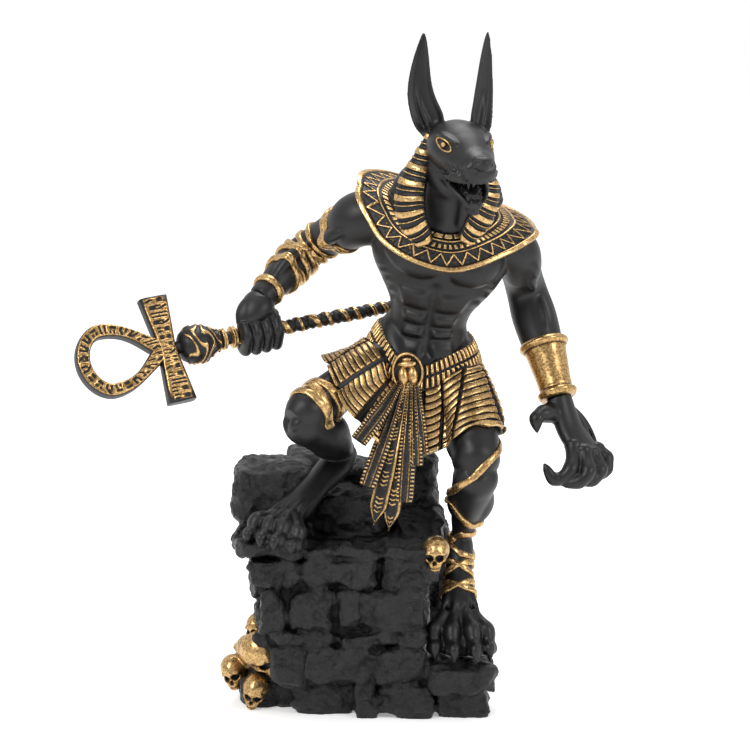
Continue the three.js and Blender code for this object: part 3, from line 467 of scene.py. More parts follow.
def finishPiece(piece, finish, replaced="figure"):
    # thins the piece, gives it its finish, says that it rides on the one body, and hides the node that it stands for
    thin(piece)
    piece.data.materials.clear()
    piece.data.materials.append(finish[0])
    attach(piece, "root")
    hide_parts(replaced)
    return piece


def pieceOf(name, parts, tyre=False, replaced="figure"):
    # one gilded piece from closed grids; each part is a grid and its gilding, one number or one per corner point
    piece = place(outward(surfaces(name, [grid for grid, _ in parts], tyre)), name)
    setGild(piece, np.concatenate([np.broadcast_to(gild, grid.shape[:2]).ravel() for grid, gild in parts]))
    return finishPiece(piece, gilt, replaced)


# The pose, as in the part

pose = {
    "hips": vec(26, 5, 150), "waist": vec(27, 1, 168), "ribs": vec(30.8, -6, 190), "chest": vec(33, -11, 207),
    "neckBase": vec(34, -15, 219), "head": vec(38.9, -35.5, 247.3),
    "rightShoulder": vec(-3, -4, 212.5), "rightElbow": vec(-25, 16, 197), "rightWrist": vec(-46.6, -2.5, 177.5),
    "leftShoulder": vec(64.4, -7, 199.5), "leftElbow": vec(71, 13, 177), "leftWrist": vec(84, -6, 134),
    "rightHip": vec(12, 4, 150), "rightHock": vec(-10, -3, 108), "rightBall": vec(-35, -33, 86),
    "leftHip": vec(36, 3, 143), "leftHock": vec(41.6, -8, 71), "leftBall": vec(40, -30, 42),
}
acrossTorso = unit(vec(1, 0, -0.19))

# The body: trunk, shoulders and arms in one skin

muscles = {"belly": 2.0, "midline": 1.3, "ribs": 0.6, "groin": 1.0, "back": 1.2}
trunk = Limb(
    [vec(26, 6, 138), pose["hips"], pose["waist"], pose["ribs"], pose["chest"], pose["neckBase"]],
    [
        [0, 18, 12], [1, 20.5, 15.5], [1.3, 19.4, 14.4], [1.7, 17.8, 12.9], [2, 16.9, 12.2], [2.3, 18.2, 12.7],
        [2.72, 24, 14.4], [2.9, 26.4, 15], [3.5, 30.4, 16.2], [4, 29.4, 15.2], [4.6, 22, 12], [5, 13, 10],
    ],
    acrossTorso,
)


def trunkRelief(at, degrees):
    # plus blocks of the belly in two columns, minus a groove down the middle, plus a slanting sine for the ribs at the
    # sides, minus the groin lines, minus the spine's groove, plus a long muscle on each side of it
    off = apart(degrees, 270)
    columns = plateau(np.abs(off), 3, 42, 9)
    blocks = (
        plateau(at, 2.42, 2.86, 0.09) + plateau(at, 2.08, 2.38, 0.09) + plateau(at, 1.78, 2.05, 0.09)
        + 0.8 * plateau(at, 1.15, 1.76, 0.22)
    )
    relief = muscles["belly"] * blocks * columns
    relief = relief - muscles["midline"] * bell(off, 0, 4) * plateau(at, 1.2, 3.1, 0.2)
    slant = np.sin((at * 5.2 + np.abs(off) / 34) * turn)
    relief = relief + muscles["ribs"] * slant * plateau(np.abs(off), 42, 80, 14) * plateau(at, 2.3, 3.3, 0.3)
    groin = at - 1.05 - (np.abs(off) - 20) / 90
    relief = relief - muscles["groin"] * bell(groin, 0, 0.1) * plateau(np.abs(off), 18, 75, 12)
    behind = apart(degrees, 90)
    relief = relief - muscles["back"] * bell(behind, 0, 7) * plateau(at, 1, 4.6, 0.4)
    relief = relief + muscles["back"] * bell(np.abs(behind), 24, 13) * plateau(at, 1.1, 3.4, 0.6)
    return relief


rightArm = Limb(
    [pose["rightShoulder"], pose["rightElbow"], pose["rightWrist"]],
    [
        [0, 9.6, 9.8], [0.35, 9.4, 9.4], [0.7, 8.4, 8.6], [1, 8.2, 8.2], [1.3, 8.8, 8.8], [1.6, 7.3, 7.6],
        [1.85, 6, 6.3], [2, 5.8, 6],
    ],
    unit(vec(0.5, 0.2, 0.85)),
)
leftArm = Limb(
    [pose["leftShoulder"], pose["leftElbow"], pose["leftWrist"]],
    [
        [0, 9.4, 9.6], [0.4, 9.2, 9.6], [0.75, 8.8, 9.2], [1, 9.2, 8.8], [1.25, 10, 9.3], [1.55, 9, 8.4],
        [1.85, 7, 6.6], [2, 6.2, 5.6],
    ],
    unit(vec(0.9, 0.35, 0.1)),
)
rightShoulder = Limb(
    [vec(14, -8, 215), pose["rightShoulder"], vec(-12, 5, 203)],
    [[0, 8, 8], [0.6, 10.8, 11.4], [1, 11.8, 12.2], [1.5, 10.4, 10.6], [2, 7, 7]], (0, 1, 0),
)
leftShoulder = Limb(
    [vec(50, -10, 205), pose["leftShoulder"], vec(68.5, 2, 187)],
    [[0, 8, 8], [0.6, 9.2, 9.6], [1, 10, 10], [1.5, 9.6, 9.2], [2, 8, 8]], (0, 1, 0),
)
kiltTop = [
    (18, -15, 141), (27, -14, 141.4), (37, -9.5, 145.2), (44, -3, 147.5), (47.3, 6, 149.5), (42, 17, 153),
    (27, 22.5, 155), (10, 18, 158), (3.4, 7, 158.5), (3.4, -1, 157), (5.5, -7.5, 153.5), (11, -13.4, 146.5),
]


def pelvisGrid():
    # the belt's own loop, drawn in by a share and raised row by row, fills the hips up to the belt
    share = np.linspace(0, 1, 90, endpoint=False)
    loop = spline(kiltTop, share, True)
    centre = vec(26.5, 3, 0) + upward * loop[:, 2:3]
    rows = [(0.4, -12), (0.84, -9), (0.9, -3), (0.93, 2), (0.9, 6), (0.82, 10), (0.66, 14), (0.4, 16)]
    return np.stack([mix(centre, loop, size) + vec(0, 0, up) for size, up in rows])


bodyGrids = [
    trunk.skin(120, 120, trunkRelief),
    rightArm.skin(), leftArm.skin(), rightShoulder.skin(), leftShoulder.skin(),
    # breast muscles
    muscle((35, -22, 190), (60, -14, 199), 5.6, 8.6, (0, 0, 1), (0, -4.4, -1)),
    muscle((33, -22, 192), (6, -14, 208), 5.6, 8.6, (0, 0, 1), (0, -4.4, -1)),
    # the heads of the shoulder muscles
    muscle((-6, -13, 211), (-21, 4, 200), 3.4, 4.6, bow=(-1.5, -1.5, 0)),
    muscle((-6, 4, 216), (-21, 13, 203), 3.4, 4.6, bow=(-1.5, 1.5, 2)),
    muscle((66, -13, 200), (73, -1, 185), 3.6, 4.6, bow=(2, -1.5, 0)),
    muscle((67, 0, 202), (74, 8, 186), 3.6, 4.6, bow=(2, 1.5, 0)),
    # upper arms: front and back muscles
    muscle((-7, -6, 209), (-21, 7, 198), 3.2, 4, bow=(-1, -1.2, -0.6)),
    muscle((-5, 4, 216), (-23, 18, 203), 3.4, 4, bow=(0, 2.6, 1)),
    muscle((68, -10, 195), (73, 4, 180), 2.4, 3.8, bow=(1, -1.4, -1)),
    muscle((67, 2, 198), (70, 13, 181), 2.4, 3.4, bow=(0, 1.6, 0)),
    # forearms
    muscle((-22, 9, 202), (-43, -1, 182), 3.2, 3.8, bow=(-1.5, 0, 2)),
    muscle((-24, 15, 193), (-44, 0, 177), 3.4, 4, bow=(-1, 1.5, -1.6)),
    muscle((75, 9, 181), (79, 1, 154), 2.4, 3.4, bow=(1.2, -1, 0)),
    muscle((70, 13, 176), (76, 5, 154), 2.6, 3.4, bow=(-1.2, 1, 0)),
    # elbows and shoulder blades
    muscle((-21, 19, 201), (-30, 19, 193), 4, 4),
    muscle((70, 16, 181), (72, 16, 172), 3, 3.2),
    muscle((46, 6, 205), (52, 4, 184), 3.2, 8, (1, 0, 0), (0, 1.6, 0)),
    muscle((14, 6, 212), (14, 5, 190), 3.2, 8, (1, 0, 0), (0, 1.6, 0)),
    pelvisGrid(),
]
body = clay("bodySkin", bodyGrids, voxel=0.62, passes=9)
finishPiece(body, resin)
print("body done")


# Hands

def fingerSkin(joints, size):
    # a finger swells at each joint and ends in a point
    sections = np.array([
        [0, 3.7, 3.7], [0.5, 3.2, 3.2], [1, 3.7, 3.6], [1.5, 2.9, 2.9], [2, 3.2, 3.0], [2.4, 2.5, 2.4],
        [2.75, 1.7, 1.6], [3, 0.35, 0.35],
    ])
    return Limb(joints, sections * vec(1, size, size)).skin(56, 26)


leftFingers = [
    [vec(90, -17, 115), vec(88.5, -25, 106), vec(81.5, -27, 101.8), vec(76.6, -27, 109)],
    [vec(94.5, -18, 113), vec(96, -25, 105), vec(92, -27, 100.8), vec(84, -26.5, 99.2)],
    [vec(98.5, -15, 111.5), vec(101.5, -20, 104.5), vec(98, -22.5, 100.6), vec(91.5, -22.5, 99.2)],
    [vec(100.5, -10.5, 112.5), vec(105, -13, 108.5), vec(105, -15.5, 104), vec(101.8, -16.5, 99.4)],
]
leftThumb = [vec(84, -8.5, 127), vec(77, -15.5, 128.6), vec(73.8, -19.5, 127), vec(74, -20.5, 120.9)]
palm = Limb(
    [pose["leftWrist"], vec(89.3, -11, 120), vec(97, -16, 110.5)],
    [[0, 6, 5.4], [0.5, 6.4, 5], [1, 7.2, 4.8], [1.6, 8.4, 4.4], [2, 7.4, 3.2]],
    unit(vec(0.72, 0.6, -0.2)),
)
handGrids = [palm.skin(40, 36)]
handGrids += [fingerSkin(joints, size) for joints, size in zip(leftFingers, (1.0, 1.02, 0.98, 0.86))]
handGrids.append(Limb(
    leftThumb, [[0, 5, 5], [0.5, 4, 4], [1, 4.3, 4.1], [1.5, 3.2, 3.1], [2, 3.4, 3.1], [2.6, 2, 1.9], [3, 0.35, 0.35]],
).skin(50, 26))
for joints in leftFingers:  # sinews on the back of the hand, one to each knuckle
    knuckle = joints[0] + vec(0.8, 1.6, 1.2)
    start = mix(pose["leftWrist"], knuckle, 0.1) + vec(2, 3, 0)
    handGrids.append(muscle(start, knuckle, 1.5, 1.4, (1, 0, 0), (0.8, 2.4, 0.6)))
    handGrids.append(muscle(joints[0] + vec(0, 2, 2), joints[0] + vec(0, -3, -3), 4.1, 4.1, (1, 0, 0)))
handGrids.append(muscle((83, -6, 132), (78, -15, 126), 4.4, 4.8, bow=(-1, -1, -1)))
leftHand = clay("leftHand", handGrids, voxel=0.42, passes=5)
finishPiece(leftHand, resin)

# The staff has its own directions: run from the crossing to its foot, face out of its flat side, down
staffPlace = {"middle": vec(-86.7, -19.5, 157.4), "run": unit(vec(0.903, 0.415, 0.113)), "tilt": 0.42}
staffRun = staffPlace["run"]
staffFace = vec(0, -cos(staffPlace["tilt"]), sin(staffPlace["tilt"]))
staffFace = unit(staffFace - np.dot(staffFace, staffRun) * staffRun)
staffDown = unit(np.cross(staffRun, staffFace))


def onStaff(away, down=0, out=0):
    # crossing + run x away + down x down + face x out, in millimetres
    away, down, out = (np.asarray(v, float)[..., None] for v in (away, down, out))
    return staffPlace["middle"] + staffRun * away + staffDown * down + staffFace * out


grip = onStaff(42.5)
gripFront = unit(vec(0, -1, 0) + staffRun * staffRun[1])
gripUp = unit(np.cross(gripFront, staffRun))
gripUp = gripUp if gripUp[2] > 0 else -gripUp


def besideGrip(along, out, high):
    # grip + run x along + front x out + up x high, in millimetres
    return grip + staffRun * along + gripFront * out + gripUp * high


# the fist: first finger's place along the staff, step between fingers, and each finger's bend as out and up
fistLook = {"first": -7.4, "step": 4.9, "curl": [(4.5, 6), (7.2, 0), (3.4, -6.4), (-4, -4.4)]}
fistGrids = [muscle((-43, 2, 181), (-52.5, -11, 168), 6.0, 7.2, (1, 0, 0)), Limb(
    [pose["rightWrist"], besideGrip(0, 3.5, 8.4), besideGrip(0, 5.6, 1)],
    [[0, 5.8, 6], [0.5, 8.2, 5.6], [1, 10, 5], [2, 8.4, 2.4]], staffRun,
).skin(40, 36)]
for finger in range(4):
    along = fistLook["first"] + fistLook["step"] * finger
    reach = 1 - 0.05 * abs(finger - 1.3)
    joints = [besideGrip(along, out * reach, high * reach) for out, high in fistLook["curl"]]
    fistGrids.append(Limb(
        joints,
        [[0, 2.9, 4.4], [0.5, 2.5, 3.8], [1, 2.9, 3.8], [1.6, 2.4, 3.1], [2, 2.6, 3], [3, 1.9, 1.7]], staffRun,
    ).skin(50, 26))
    fistGrids.append(muscle(besideGrip(along, 0.5, 8), besideGrip(along, 6.4, 6), 3, 2.9, staffRun))
    start = mix(pose["rightWrist"], besideGrip(along, 3, 9), 0.3)
    fistGrids.append(muscle(start, besideGrip(along, 3.4, 9.4), 1.3, 1.2, staffRun, (0, 0, 1.2)))
fistGrids.append(Limb(
    [besideGrip(6, 1, 7), besideGrip(4.5, -5.5, 3.5), besideGrip(1, -6.6, -2)],
    [[0, 3.4, 3.4], [0.5, 2.8, 2.7], [1, 3, 2.8], [1.6, 2.4, 2.2], [2, 1.4, 1.4]], staffRun,
).skin(40, 24))
fist = clay("fist", fistGrids, voxel=0.42, passes=4)
finishPiece(fist, resin)
print("hands done")

# Legs: bent knees, raised hocks and long-toed feet

rightThigh = Limb(
    [pose["rightHip"], vec(-11, -18, 140.5), vec(-32, -34.5, 129)],
    [[0, 12, 12], [0.3, 11.2, 12], [0.6, 10.8, 11.6], [1, 9.6, 10.4], [1.5, 9.2, 9.8], [1.85, 8.4, 8.8], [2, 5.4, 6]],
    unit(vec(-0.6, 0.6, 0.5)),
)
rightShank = Limb(
    [vec(-31.5, -35, 129), vec(-18, -18, 121), pose["rightHock"]],
    [[0, 6, 6], [0.16, 8.2, 8.4], [0.5, 9.0, 9.8], [0.9, 9.4, 10.8], [1.5, 7.4, 8.6], [2, 4.4, 4.6]],
)
rightInstep = Limb(
    [vec(-7, 0, 109.5), mix(pose["rightHock"], pose["rightBall"], 0.5), pose["rightBall"]],
    [[0, 3.4, 4], [0.25, 6.2, 6], [1, 6.4, 5.4], [1.5, 7.6, 5.2], [1.8, 7.6, 5], [2, 5.4, 3.6]],
    unit(vec(0.9, -0.3, 0)),
)
leftThigh = Limb(
    [pose["leftHip"], vec(44, -13, 126), vec(48.5, -34, 105)],
    [[0, 12, 13], [0.6, 12, 14], [1, 11.8, 13.4], [1.6, 10.8, 12], [1.86, 9.4, 9.8], [2, 6, 6]],
)
leftShank = Limb(
    [vec(48, -35, 108), vec(44.4, -19, 90), pose["leftHock"]],
    [[0, 6, 6], [0.12, 8.8, 8.2], [0.5, 9.3, 9.4], [0.9, 8, 9.4], [1.4, 6.4, 7.4], [2, 4, 4]],
)
leftInstep = Limb(
    [vec(41.6, -5, 75), vec(40.2, -18.5, 57.5), pose["leftBall"]],
    [[0, 3.6, 4], [0.3, 5.6, 5.8], [1, 5.8, 5.4], [1.5, 7.2, 5.6], [1.8, 7.4, 5.2], [2, 5.4, 3.6]],
)
# tips of the claws; toe: share of the reach and of the spread at each toe's root, knuckle, waist and pad
feet = {
    "rightTips": [(-50.5, -44, 77.5), (-45, -50, 77), (-39, -53, 76.5), (-31.5, -50, 74)],
    "leftTips": [(29.4, -44, 25.6), (37.6, -48.5, 25.6), (46.8, -49, 25.6), (53, -43.5, 25)],
    "rightRise": 7, "leftRise": 11, "sinew": 1.3, "toe": ((0.05, 0.5), (0.52, 0.94), (0.72, 1), (0.88, 1)),
}


def toeGrids(tips, ball, rise, hock):
    # toes spread from the ball: each is a bone that humps at the knuckle, a pad, a claw that points down, and a sinew
    # up the foot; a web joins them. A place on a toe = ball + way x reach x share + aside x spread
    grids = []
    flat = vec(1, 1, 0)
    middle = np.mean(np.array(tips), axis=0)
    way = unit((middle - ball) * flat)
    for tip in np.array(tips, float):
        reach = np.dot((tip - ball) * flat, way)
        aside = (tip - ball) * flat - way * reach
        root, knuckle, waist, pad = (ball + way * reach * share + aside * spread for share, spread in feet["toe"])
        root[2] += 0.6
        knuckle[2], waist[2], pad[2] = tip[2] + rise + 0.8, tip[2] + rise * 0.72, tip[2] + rise * 0.46
        grids.append(Limb(
            [root, knuckle, waist, pad, pad + way * 1.8 - vec(0, 0, 2.4)],
            [
                [0, 3.2, 4], [0.5, 3.1, 3.7], [1, 4, 4.8], [1.5, 3.5, 4], [2, 3, 3.4], [3, 3.8, 3.9], [3.6, 3.1, 3],
                [4, 1.2, 1.2],
            ],
        ).skin(64, 28))
        claw = [pad + way * 0.8 + vec(0, 0, 2.2), pad + way * 3.6 + vec(0, 0, 0.8), tip + way * 1.8]
        grids.append(Limb(claw, [[0, 2, 1.7], [0.6, 2.4, 2], [1.3, 2, 1.7], [2, 0.4, 0.4]]).skin(36, 20))
        start = mix(hock, ball, 0.45) + aside * 0.15 + vec(0, -3, 0)
        end = mix(root, knuckle, 0.6) + vec(0, 0, 2.6)
        grids.append(muscle(start, end, feet["sinew"], 1.5, (1, 0, 0), (0, -0.3, 0.2)))
    web = [ball + vec(0, 0, -0.5), mix(ball, middle, 0.5), mix(ball, middle, 0.86)]
    web[1][2], web[2][2] = middle[2] + rise * 0.58, middle[2] + rise * 0.4
    sections = [[0, 6, 4.6], [0.6, 9.4, 5], [1, 10.6, 5], [1.6, 10.4, 4], [2, 7, 2.4]]
    grids.append(Limb(web, sections, vec(-way[1], way[0], 0)).skin(50, 40))
    return grids


rightLegGrids = [
    rightThigh.skin(), rightShank.skin(), rightInstep.skin(),
    *toeGrids(feet["rightTips"], pose["rightBall"], feet["rightRise"], pose["rightHock"]),
    muscle((-4, -17, 147), (-29, -37, 133), 3.6, 5, bow=(-1, -1, 1)),
    muscle((-4, -10, 138), (-25, -28, 125), 3.8, 5, bow=(0, 0, -1.5)),
    muscle((-26, -36.5, 132), (-33.5, -34.5, 124), 3.4, 4.2),
    muscle((-26, -30, 123), (-10, -8, 111), 5, 5.4, (1, 0, 0), (0, 1, -3)),
    muscle((-22, -24, 130), (-8, -4, 113), 4.4, 4.6, (1, 0, 0), (1, 2, 2)),
    muscle((-9, -1, 116), (-8, 0, 101), 3.4, 3.4, (1, 0, 0)),
    muscle((-10, 1, 108), (-26, -17, 90), 3.2, 3.6, (1, 0, 0), (0, 2, -2)),
]
leftLegGrids = [
    leftThigh.skin(), leftShank.skin(), leftInstep.skin(),
    *toeGrids(feet["leftTips"], pose["leftBall"], feet["leftRise"], pose["leftHock"]),
    muscle((43, -22, 128), (49, -37.5, 110), 4, 6, (1, 0, 0), (0, -1.5, 0)),
    muscle((50, -12, 126), (54, -31, 107), 3.6, 4.6, bow=(0.6, 0, 0)),
    muscle((36, -12, 124), (42, -31, 107), 3.8, 4.8, bow=(-1, 0, 0)),
    muscle((48.5, -36, 112), (48, -34.5, 99), 3, 5.4, (1, 0, 0)),
    muscle((50, -32, 102), (46, -14, 78), 4.6, 5, bow=(3, 3, 0)),
    muscle((43, -30, 102), (41, -14, 80), 4.2, 4.8, bow=(-3, 2, 0)),
    muscle((42, -4, 80), (42, -3, 64), 3.4, 3.2, (1, 0, 0)),
    muscle((41, -6, 70), (40, -22, 44), 3, 3.8, (1, 0, 0), (0, 2.6, 0)),
]
rightLeg = clay("rightLeg", rightLegGrids, voxel=0.55, passes=6)
leftLeg = clay("leftLeg", leftLegGrids, voxel=0.55, passes=6)
finishPiece(rightLeg, resin)
finishPiece(leftLeg, resin)
print("legs done")

# The jackal's head: forward along the muzzle, aside to its left, and up

headYaw, headPitch = 0.34, 0.16
muzzleWay = unit(vec(cos(headPitch) * sin(headYaw), -cos(headPitch) * cos(headYaw), -sin(headPitch)))
earWay = unit(vec(cos(headYaw), sin(headYaw), 0))
crownWay = -np.cross(earWay, muzzleWay)
headAxes = np.array([muzzleWay, earWay, crownWay])


def onHead(forward, aside, up):
    # head + muzzle way x forward + ear way x aside + crown way x up, in millimetres
    return pose["head"] + muzzleWay * forward + earWay * aside + crownWay * up


face = {
    "eye": (9.4, 10.2, 3.8), "eyeLong": 5.1, "eyeTall": 2.1, "wrinkle": 0.34, "socket": 0.9, "nostril": 1.4,
    "bumps": 0.5, "rimWide": 0.46, "rimHigh": 0.6, "ball": (2.2, 1.3, 1.9), "pupil": (1.3, 1.0, 1.2),
    "eyeWays": ((0.86, 0, -0.5), (0.5, 0.12, 0.86), (0.35, 0.93, -0.1)),
}


def headLimb(joints, sections, rows=60, around=44, side=None):
    # a tube whose joints are given in the head's own directions
    return Limb([onHead(*joint) for joint in joints], sections, earWay if side is None else side).skin(rows, around)


def headMuscle(start, end, thick, wide, bow):
    # a spindle whose ends and bow are given in the head's own directions
    bend = bow[0] * muzzleWay + bow[1] * earWay + bow[2] * crownWay
    return muscle(onHead(*start), onHead(*end), thick, wide, earWay, bend)


earLook = {"size": 0.96, "depth": 0.72}
ears = [
    {"root": vec(28.6, -30.4, 252.4), "bow": vec(-4.0, 0.6, 0), "tip": vec(24.2, -23, 294.8), "turn": -0.42},
    {"root": vec(48, -34.5, 252.5), "bow": vec(0.4, 1.6, 0), "tip": vec(51.4, -27, 295.4), "turn": 0.5},
]


def earGrid(ear, rows=100, around=64):
    # a leaf: across the ear x = half x cos a; the back is round, the face is hollow with a fold up its middle
    t, a = climb(rows), sweep(around)
    middle = mix(ear["root"], ear["tip"], 0.42) + ear["bow"]
    lookWay = unit(earWay * ear["turn"] + muzzleWay * 0.9)
    at, out, across = pathFrame([ear["root"], middle, ear["tip"]], t, lookWay)
    size = smoothRows(t, [
        [0, 5.0, 4.6], [0.14, 6.8, 4.8], [0.36, 6.5, 4.2], [0.6, 5.1, 3.6], [0.84, 2.9, 2.6], [0.96, 1.3, 1.4],
        [1, 0.6, 0.6],
    ])
    half, deep = size[..., 0] * earLook["size"], size[..., 1] * earLook["size"] * earLook["depth"]
    x = np.cos(a) * np.ones_like(t)
    bowl = ease((1 - np.abs(x)) / 0.5) * plateau(t, 0.02, 1.1, 0.12)
    hollow = 0.3 - (0.95 - 0.75 * t) * bowl
    fold = 0.62 * bell(x, 0.2 * np.sign(ear["turn"]), 0.2) * plateau(t, -1, 0.6, 0.35)
    high = np.where(np.sin(a) < 0, np.sin(a), hollow + fold)
    return laid(at, across, half * x, out, deep * high)


headGrids = [
    # brain case and muzzle
    headLimb(
        [(-15, 0, -2), (0, 0, 0), (10, 0, -1.2), (19, 0, -2.8), (29, 0, -3.0)],
        [
            [0, 4, 4], [0.25, 9.4, 8.6], [0.6, 12.6, 10.8], [1, 13.6, 11.4], [1.5, 13.3, 11.2], [2, 12.3, 10.4],
            [2.5, 10.8, 9.2], [3, 9.2, 8.0], [3.6, 7.4, 6.6], [3.9, 5.9, 5.2], [4, 3.6, 3.2],
        ],
        90, 64,
    ),
    # lower jaw
    headLimb(
        [(-2, 0, -9), (9, 0, -13.4), (17, 0, -17.2), (23.4, 0, -20.4)],
        [[0, 11, 6], [0.6, 9.6, 4.8], [1, 8, 3.8], [2, 5.4, 2.7], [2.7, 4.2, 2.3], [3, 2.6, 1.5]],
    ),
    # throat and neck
    Limb(
        [onHead(-4, 0, -3), onHead(-3, 0, -12), vec(35.2, -26, 228), vec(34, -17, 208)],
        [[0, 11.4, 10], [0.6, 12.6, 11.4], [1, 12.6, 11.6], [1.6, 11.6, 11.4], [2, 11.6, 11], [3, 12.5, 10.8]],
    ).skin(60, 48, lambda at, degrees: 0.5 * np.sin(np.radians(degrees * 5) + 1) * plateau(at, 1.4, 3, 0.5)),
    # nose, from side to side, and chin
    headLimb(
        [(27.6, -3.4, 0.6), (29.6, 0, 0.4), (27.6, 3.4, 0.6)], [[0, 2.6, 2.6], [1, 3.3, 3.4], [2, 2.6, 2.6]], 30, 30,
        crownWay,
    ),
    headLimb([(13, 0, -19.6), (20, 0, -22), (23.6, 0, -22.6)], [[0, 2, 1.5], [1, 2.8, 1.8], [2, 1.8, 1.2]], 30, 24),
    # tongue
    headLimb(
        [(5, 0, -11), (13, 0, -12.2), (19, 0, -14.8), (21.8, 0, -15.8)],
        [[0, 5.4, 2.4], [1, 4.6, 1.8], [2, 3.4, 1.4], [3, 1.4, 0.8]],
    ),
]
for hand in (-1, 1):
    headGrids += [
        # brow, lip over the teeth, edges of the upper and the lower lip, corner of the mouth
        headMuscle((0, hand * 10, 6.8), (16, hand * 6.8, 5.6), 1.5, 2.6, (0, hand * 0.5, 0.6)),
        headMuscle((14, hand * 8.6, -6), (27, hand * 4.6, -5.4), 1.8, 2.8, (0, hand * 0.6, -0.4)),
        headMuscle((8, hand * 9.8, -9.8), (28, hand * 4.4, -8.2), 1.6, 1.8, (0, hand * 1.2, 0.4)),
        headMuscle((8, hand * 9.0, -10.6), (24, hand * 3.4, -18.4), 1.4, 1.6, (0, hand * 0.9, 0.3)),
        headMuscle((7, hand * 9.4, -7.6), (8.6, hand * 9.0, -12.4), 1.8, 2.0, (0.5, hand * 0.4, 0)),
    ]
    for step in range(6):  # teeth stand in from the lips, and the second is the fang
        share = step / 5
        tall = 3.2 if step == 1 else 1.6
        up = (26.6 - 14 * share, hand * (3.0 + 5.2 * share), -9.0 - 1.2 * share)
        low = (23.2 - 12 * share, hand * (2.0 + 5.0 * share), -18.0 + 5.4 * share)
        for (x, y, z), lean, root, crown in ((up, 0.5, 2, -tall), (low, 0.4, -1.5, tall)):
            tooth = [(x, y, z + root), (x + lean, y, z + crown)]
            headGrids.append(headLimb(tooth, [[0, 1.1, 1.1], [1, 0.2, 0.2]], 12, 12))
headGrids += [earGrid(ear) for ear in ears]

head = clay("jackalHead", headGrids, voxel=0.4, passes=6)
places, normals = pointsOf(head)
local = (places - pose["head"]) @ headAxes.T
forward, aside, up = local.T
# eye sockets and nostrils sink along the surface's own direction, and the snarling lip is rough
socket = bell(forward, 10, 4.4) * (bell(aside, -11, 4) + bell(aside, 11, 4)) * bell(up, 3.4, 2.6)
nostril = bell(forward, 30, 2.4) * bell(np.abs(aside), 2, 0.9) * bell(up, -0.2, 0.8)
snarl = plateau(forward, 11, 29, 4) * plateau(up, -9, -1.5, 2.5) * ease((np.abs(aside) - 1) / 2)
wrinkles = np.sin((forward * 0.62 + up * 0.35) * turn / 2.3)
bumps = noise(local, 1.5, 3) * np.maximum(snarl, plateau(forward, 24.5, 33, 2) * plateau(up, -5, 3, 1.5))
relief = face["wrinkle"] * snarl * wrinkles + face["bumps"] * bumps
movePoints(head, places + normals * (-face["socket"] * socket - face["nostril"] * nostril + relief)[:, None])
finishPiece(head, resin)
bpy.context.view_layer.update()


def ontoSkin(skin, spots, towards, reach=14.0):
    # each of a line's few spots moves to where a ray first meets the skin: from reach outside, in the given direction
    found = []
    for spot, way in zip(spots, towards):
        hit, where, _, _ = skin.ray_cast(Vector((spot - way * reach) * metre), Vector(way), distance=2 * reach * metre)
        found.append(np.array(where) / metre if hit else spot)
    return np.array(found)


def smoothLine(line, passes, closed=False):
    # each pass takes half of a spot and a quarter of each neighbour; the ends of an open line stay
    for _ in range(passes):
        before, after = np.roll(line, 1, 0), np.roll(line, -1, 0)
        eased = 0.5 * line + 0.25 * (before + after)
        if not closed:
            eased[0], eased[-1] = line[0], line[-1]
        line = eased
    return line


def eyeGrids(hand):
    # the rim follows an almond on the skin: long x cos, tall x sin, narrowed at its two corners; the two eyes mirror
    forward, aside, up = face["eye"]
    turned = lambda v: np.array([v @ muzzleWay, (v @ earWay) * -hand, v @ crownWay]) @ headAxes
    ahead, rise, inward = (turned(vec(*way)) for way in face["eyeWays"])
    w = np.linspace(0, turn, 72, endpoint=False)
    long = face["eyeLong"] * np.cos(w)
    tall = face["eyeTall"] * np.sin(w) * (1 - 0.25 * np.cos(w) ** 2)
    centre = ontoSkin(head, [onHead(forward, hand * aside, up)], [inward])[0]
    flat = centre + ahead * long[:, None] + rise * tall[:, None]
    middle = smoothLine(ontoSkin(head, flat, np.broadcast_to(inward, flat.shape)), 3, True)
    along = unit(np.roll(middle, -1, 0) - np.roll(middle, 1, 0))
    across = np.cross(along, inward)
    a = np.linspace(0, turn, 14, endpoint=False)
    x, high = (face["rimWide"] * np.cos(a))[:, None], (face["rimHigh"] * np.sin(a) + 0.1)[:, None]
    rim = across[:, None] * x - inward * high + middle[:, None]
    spindle = lambda spot, half, thick, wide: muscle(spot - ahead * half, spot + ahead * half, thick, wide, rise)
    return spindle(centre, *face["ball"]), spindle(centre - inward * 0.75, *face["pupil"]), rim


balls, pupilGrids, rims = zip(*[eyeGrids(hand) for hand in (-1, 1)])
eyeBalls = place(outward(surfaces("eyeBalls", balls)), "eyeBalls")
finishPiece(eyeBalls, resin)
pieceOf("pupils", [(grid, fullGild) for grid in pupilGrids])
pieceOf("eyeRims", [(grid, fullGild) for grid in rims], True)
print("head done")

# Gilded work: grids whose height and gilding are functions of two parameters


def bars(x, share=0.62, soft=0.16):
    # a row of bars: x counts bars, and each is raised over this share of its width
    off = np.abs((x % 1) - 0.5) * 2
    return ease((share - off) / soft + 0.5)


def ripple(x):
    # round-topped ribs with narrow grooves between them
    off = np.abs((x % 1) - 0.5) * 2
    return np.sqrt(np.clip(1 - off**2.6, 0, 1))


# Head cloth: striped lappets in front and a dark hood behind

cloth = {"lappetBands": 7.5, "bandHigh": 1.3, "thick": 2.4, "hoodBands": 13, "hoodHigh": 0.8, "hoodGild": 0.3}

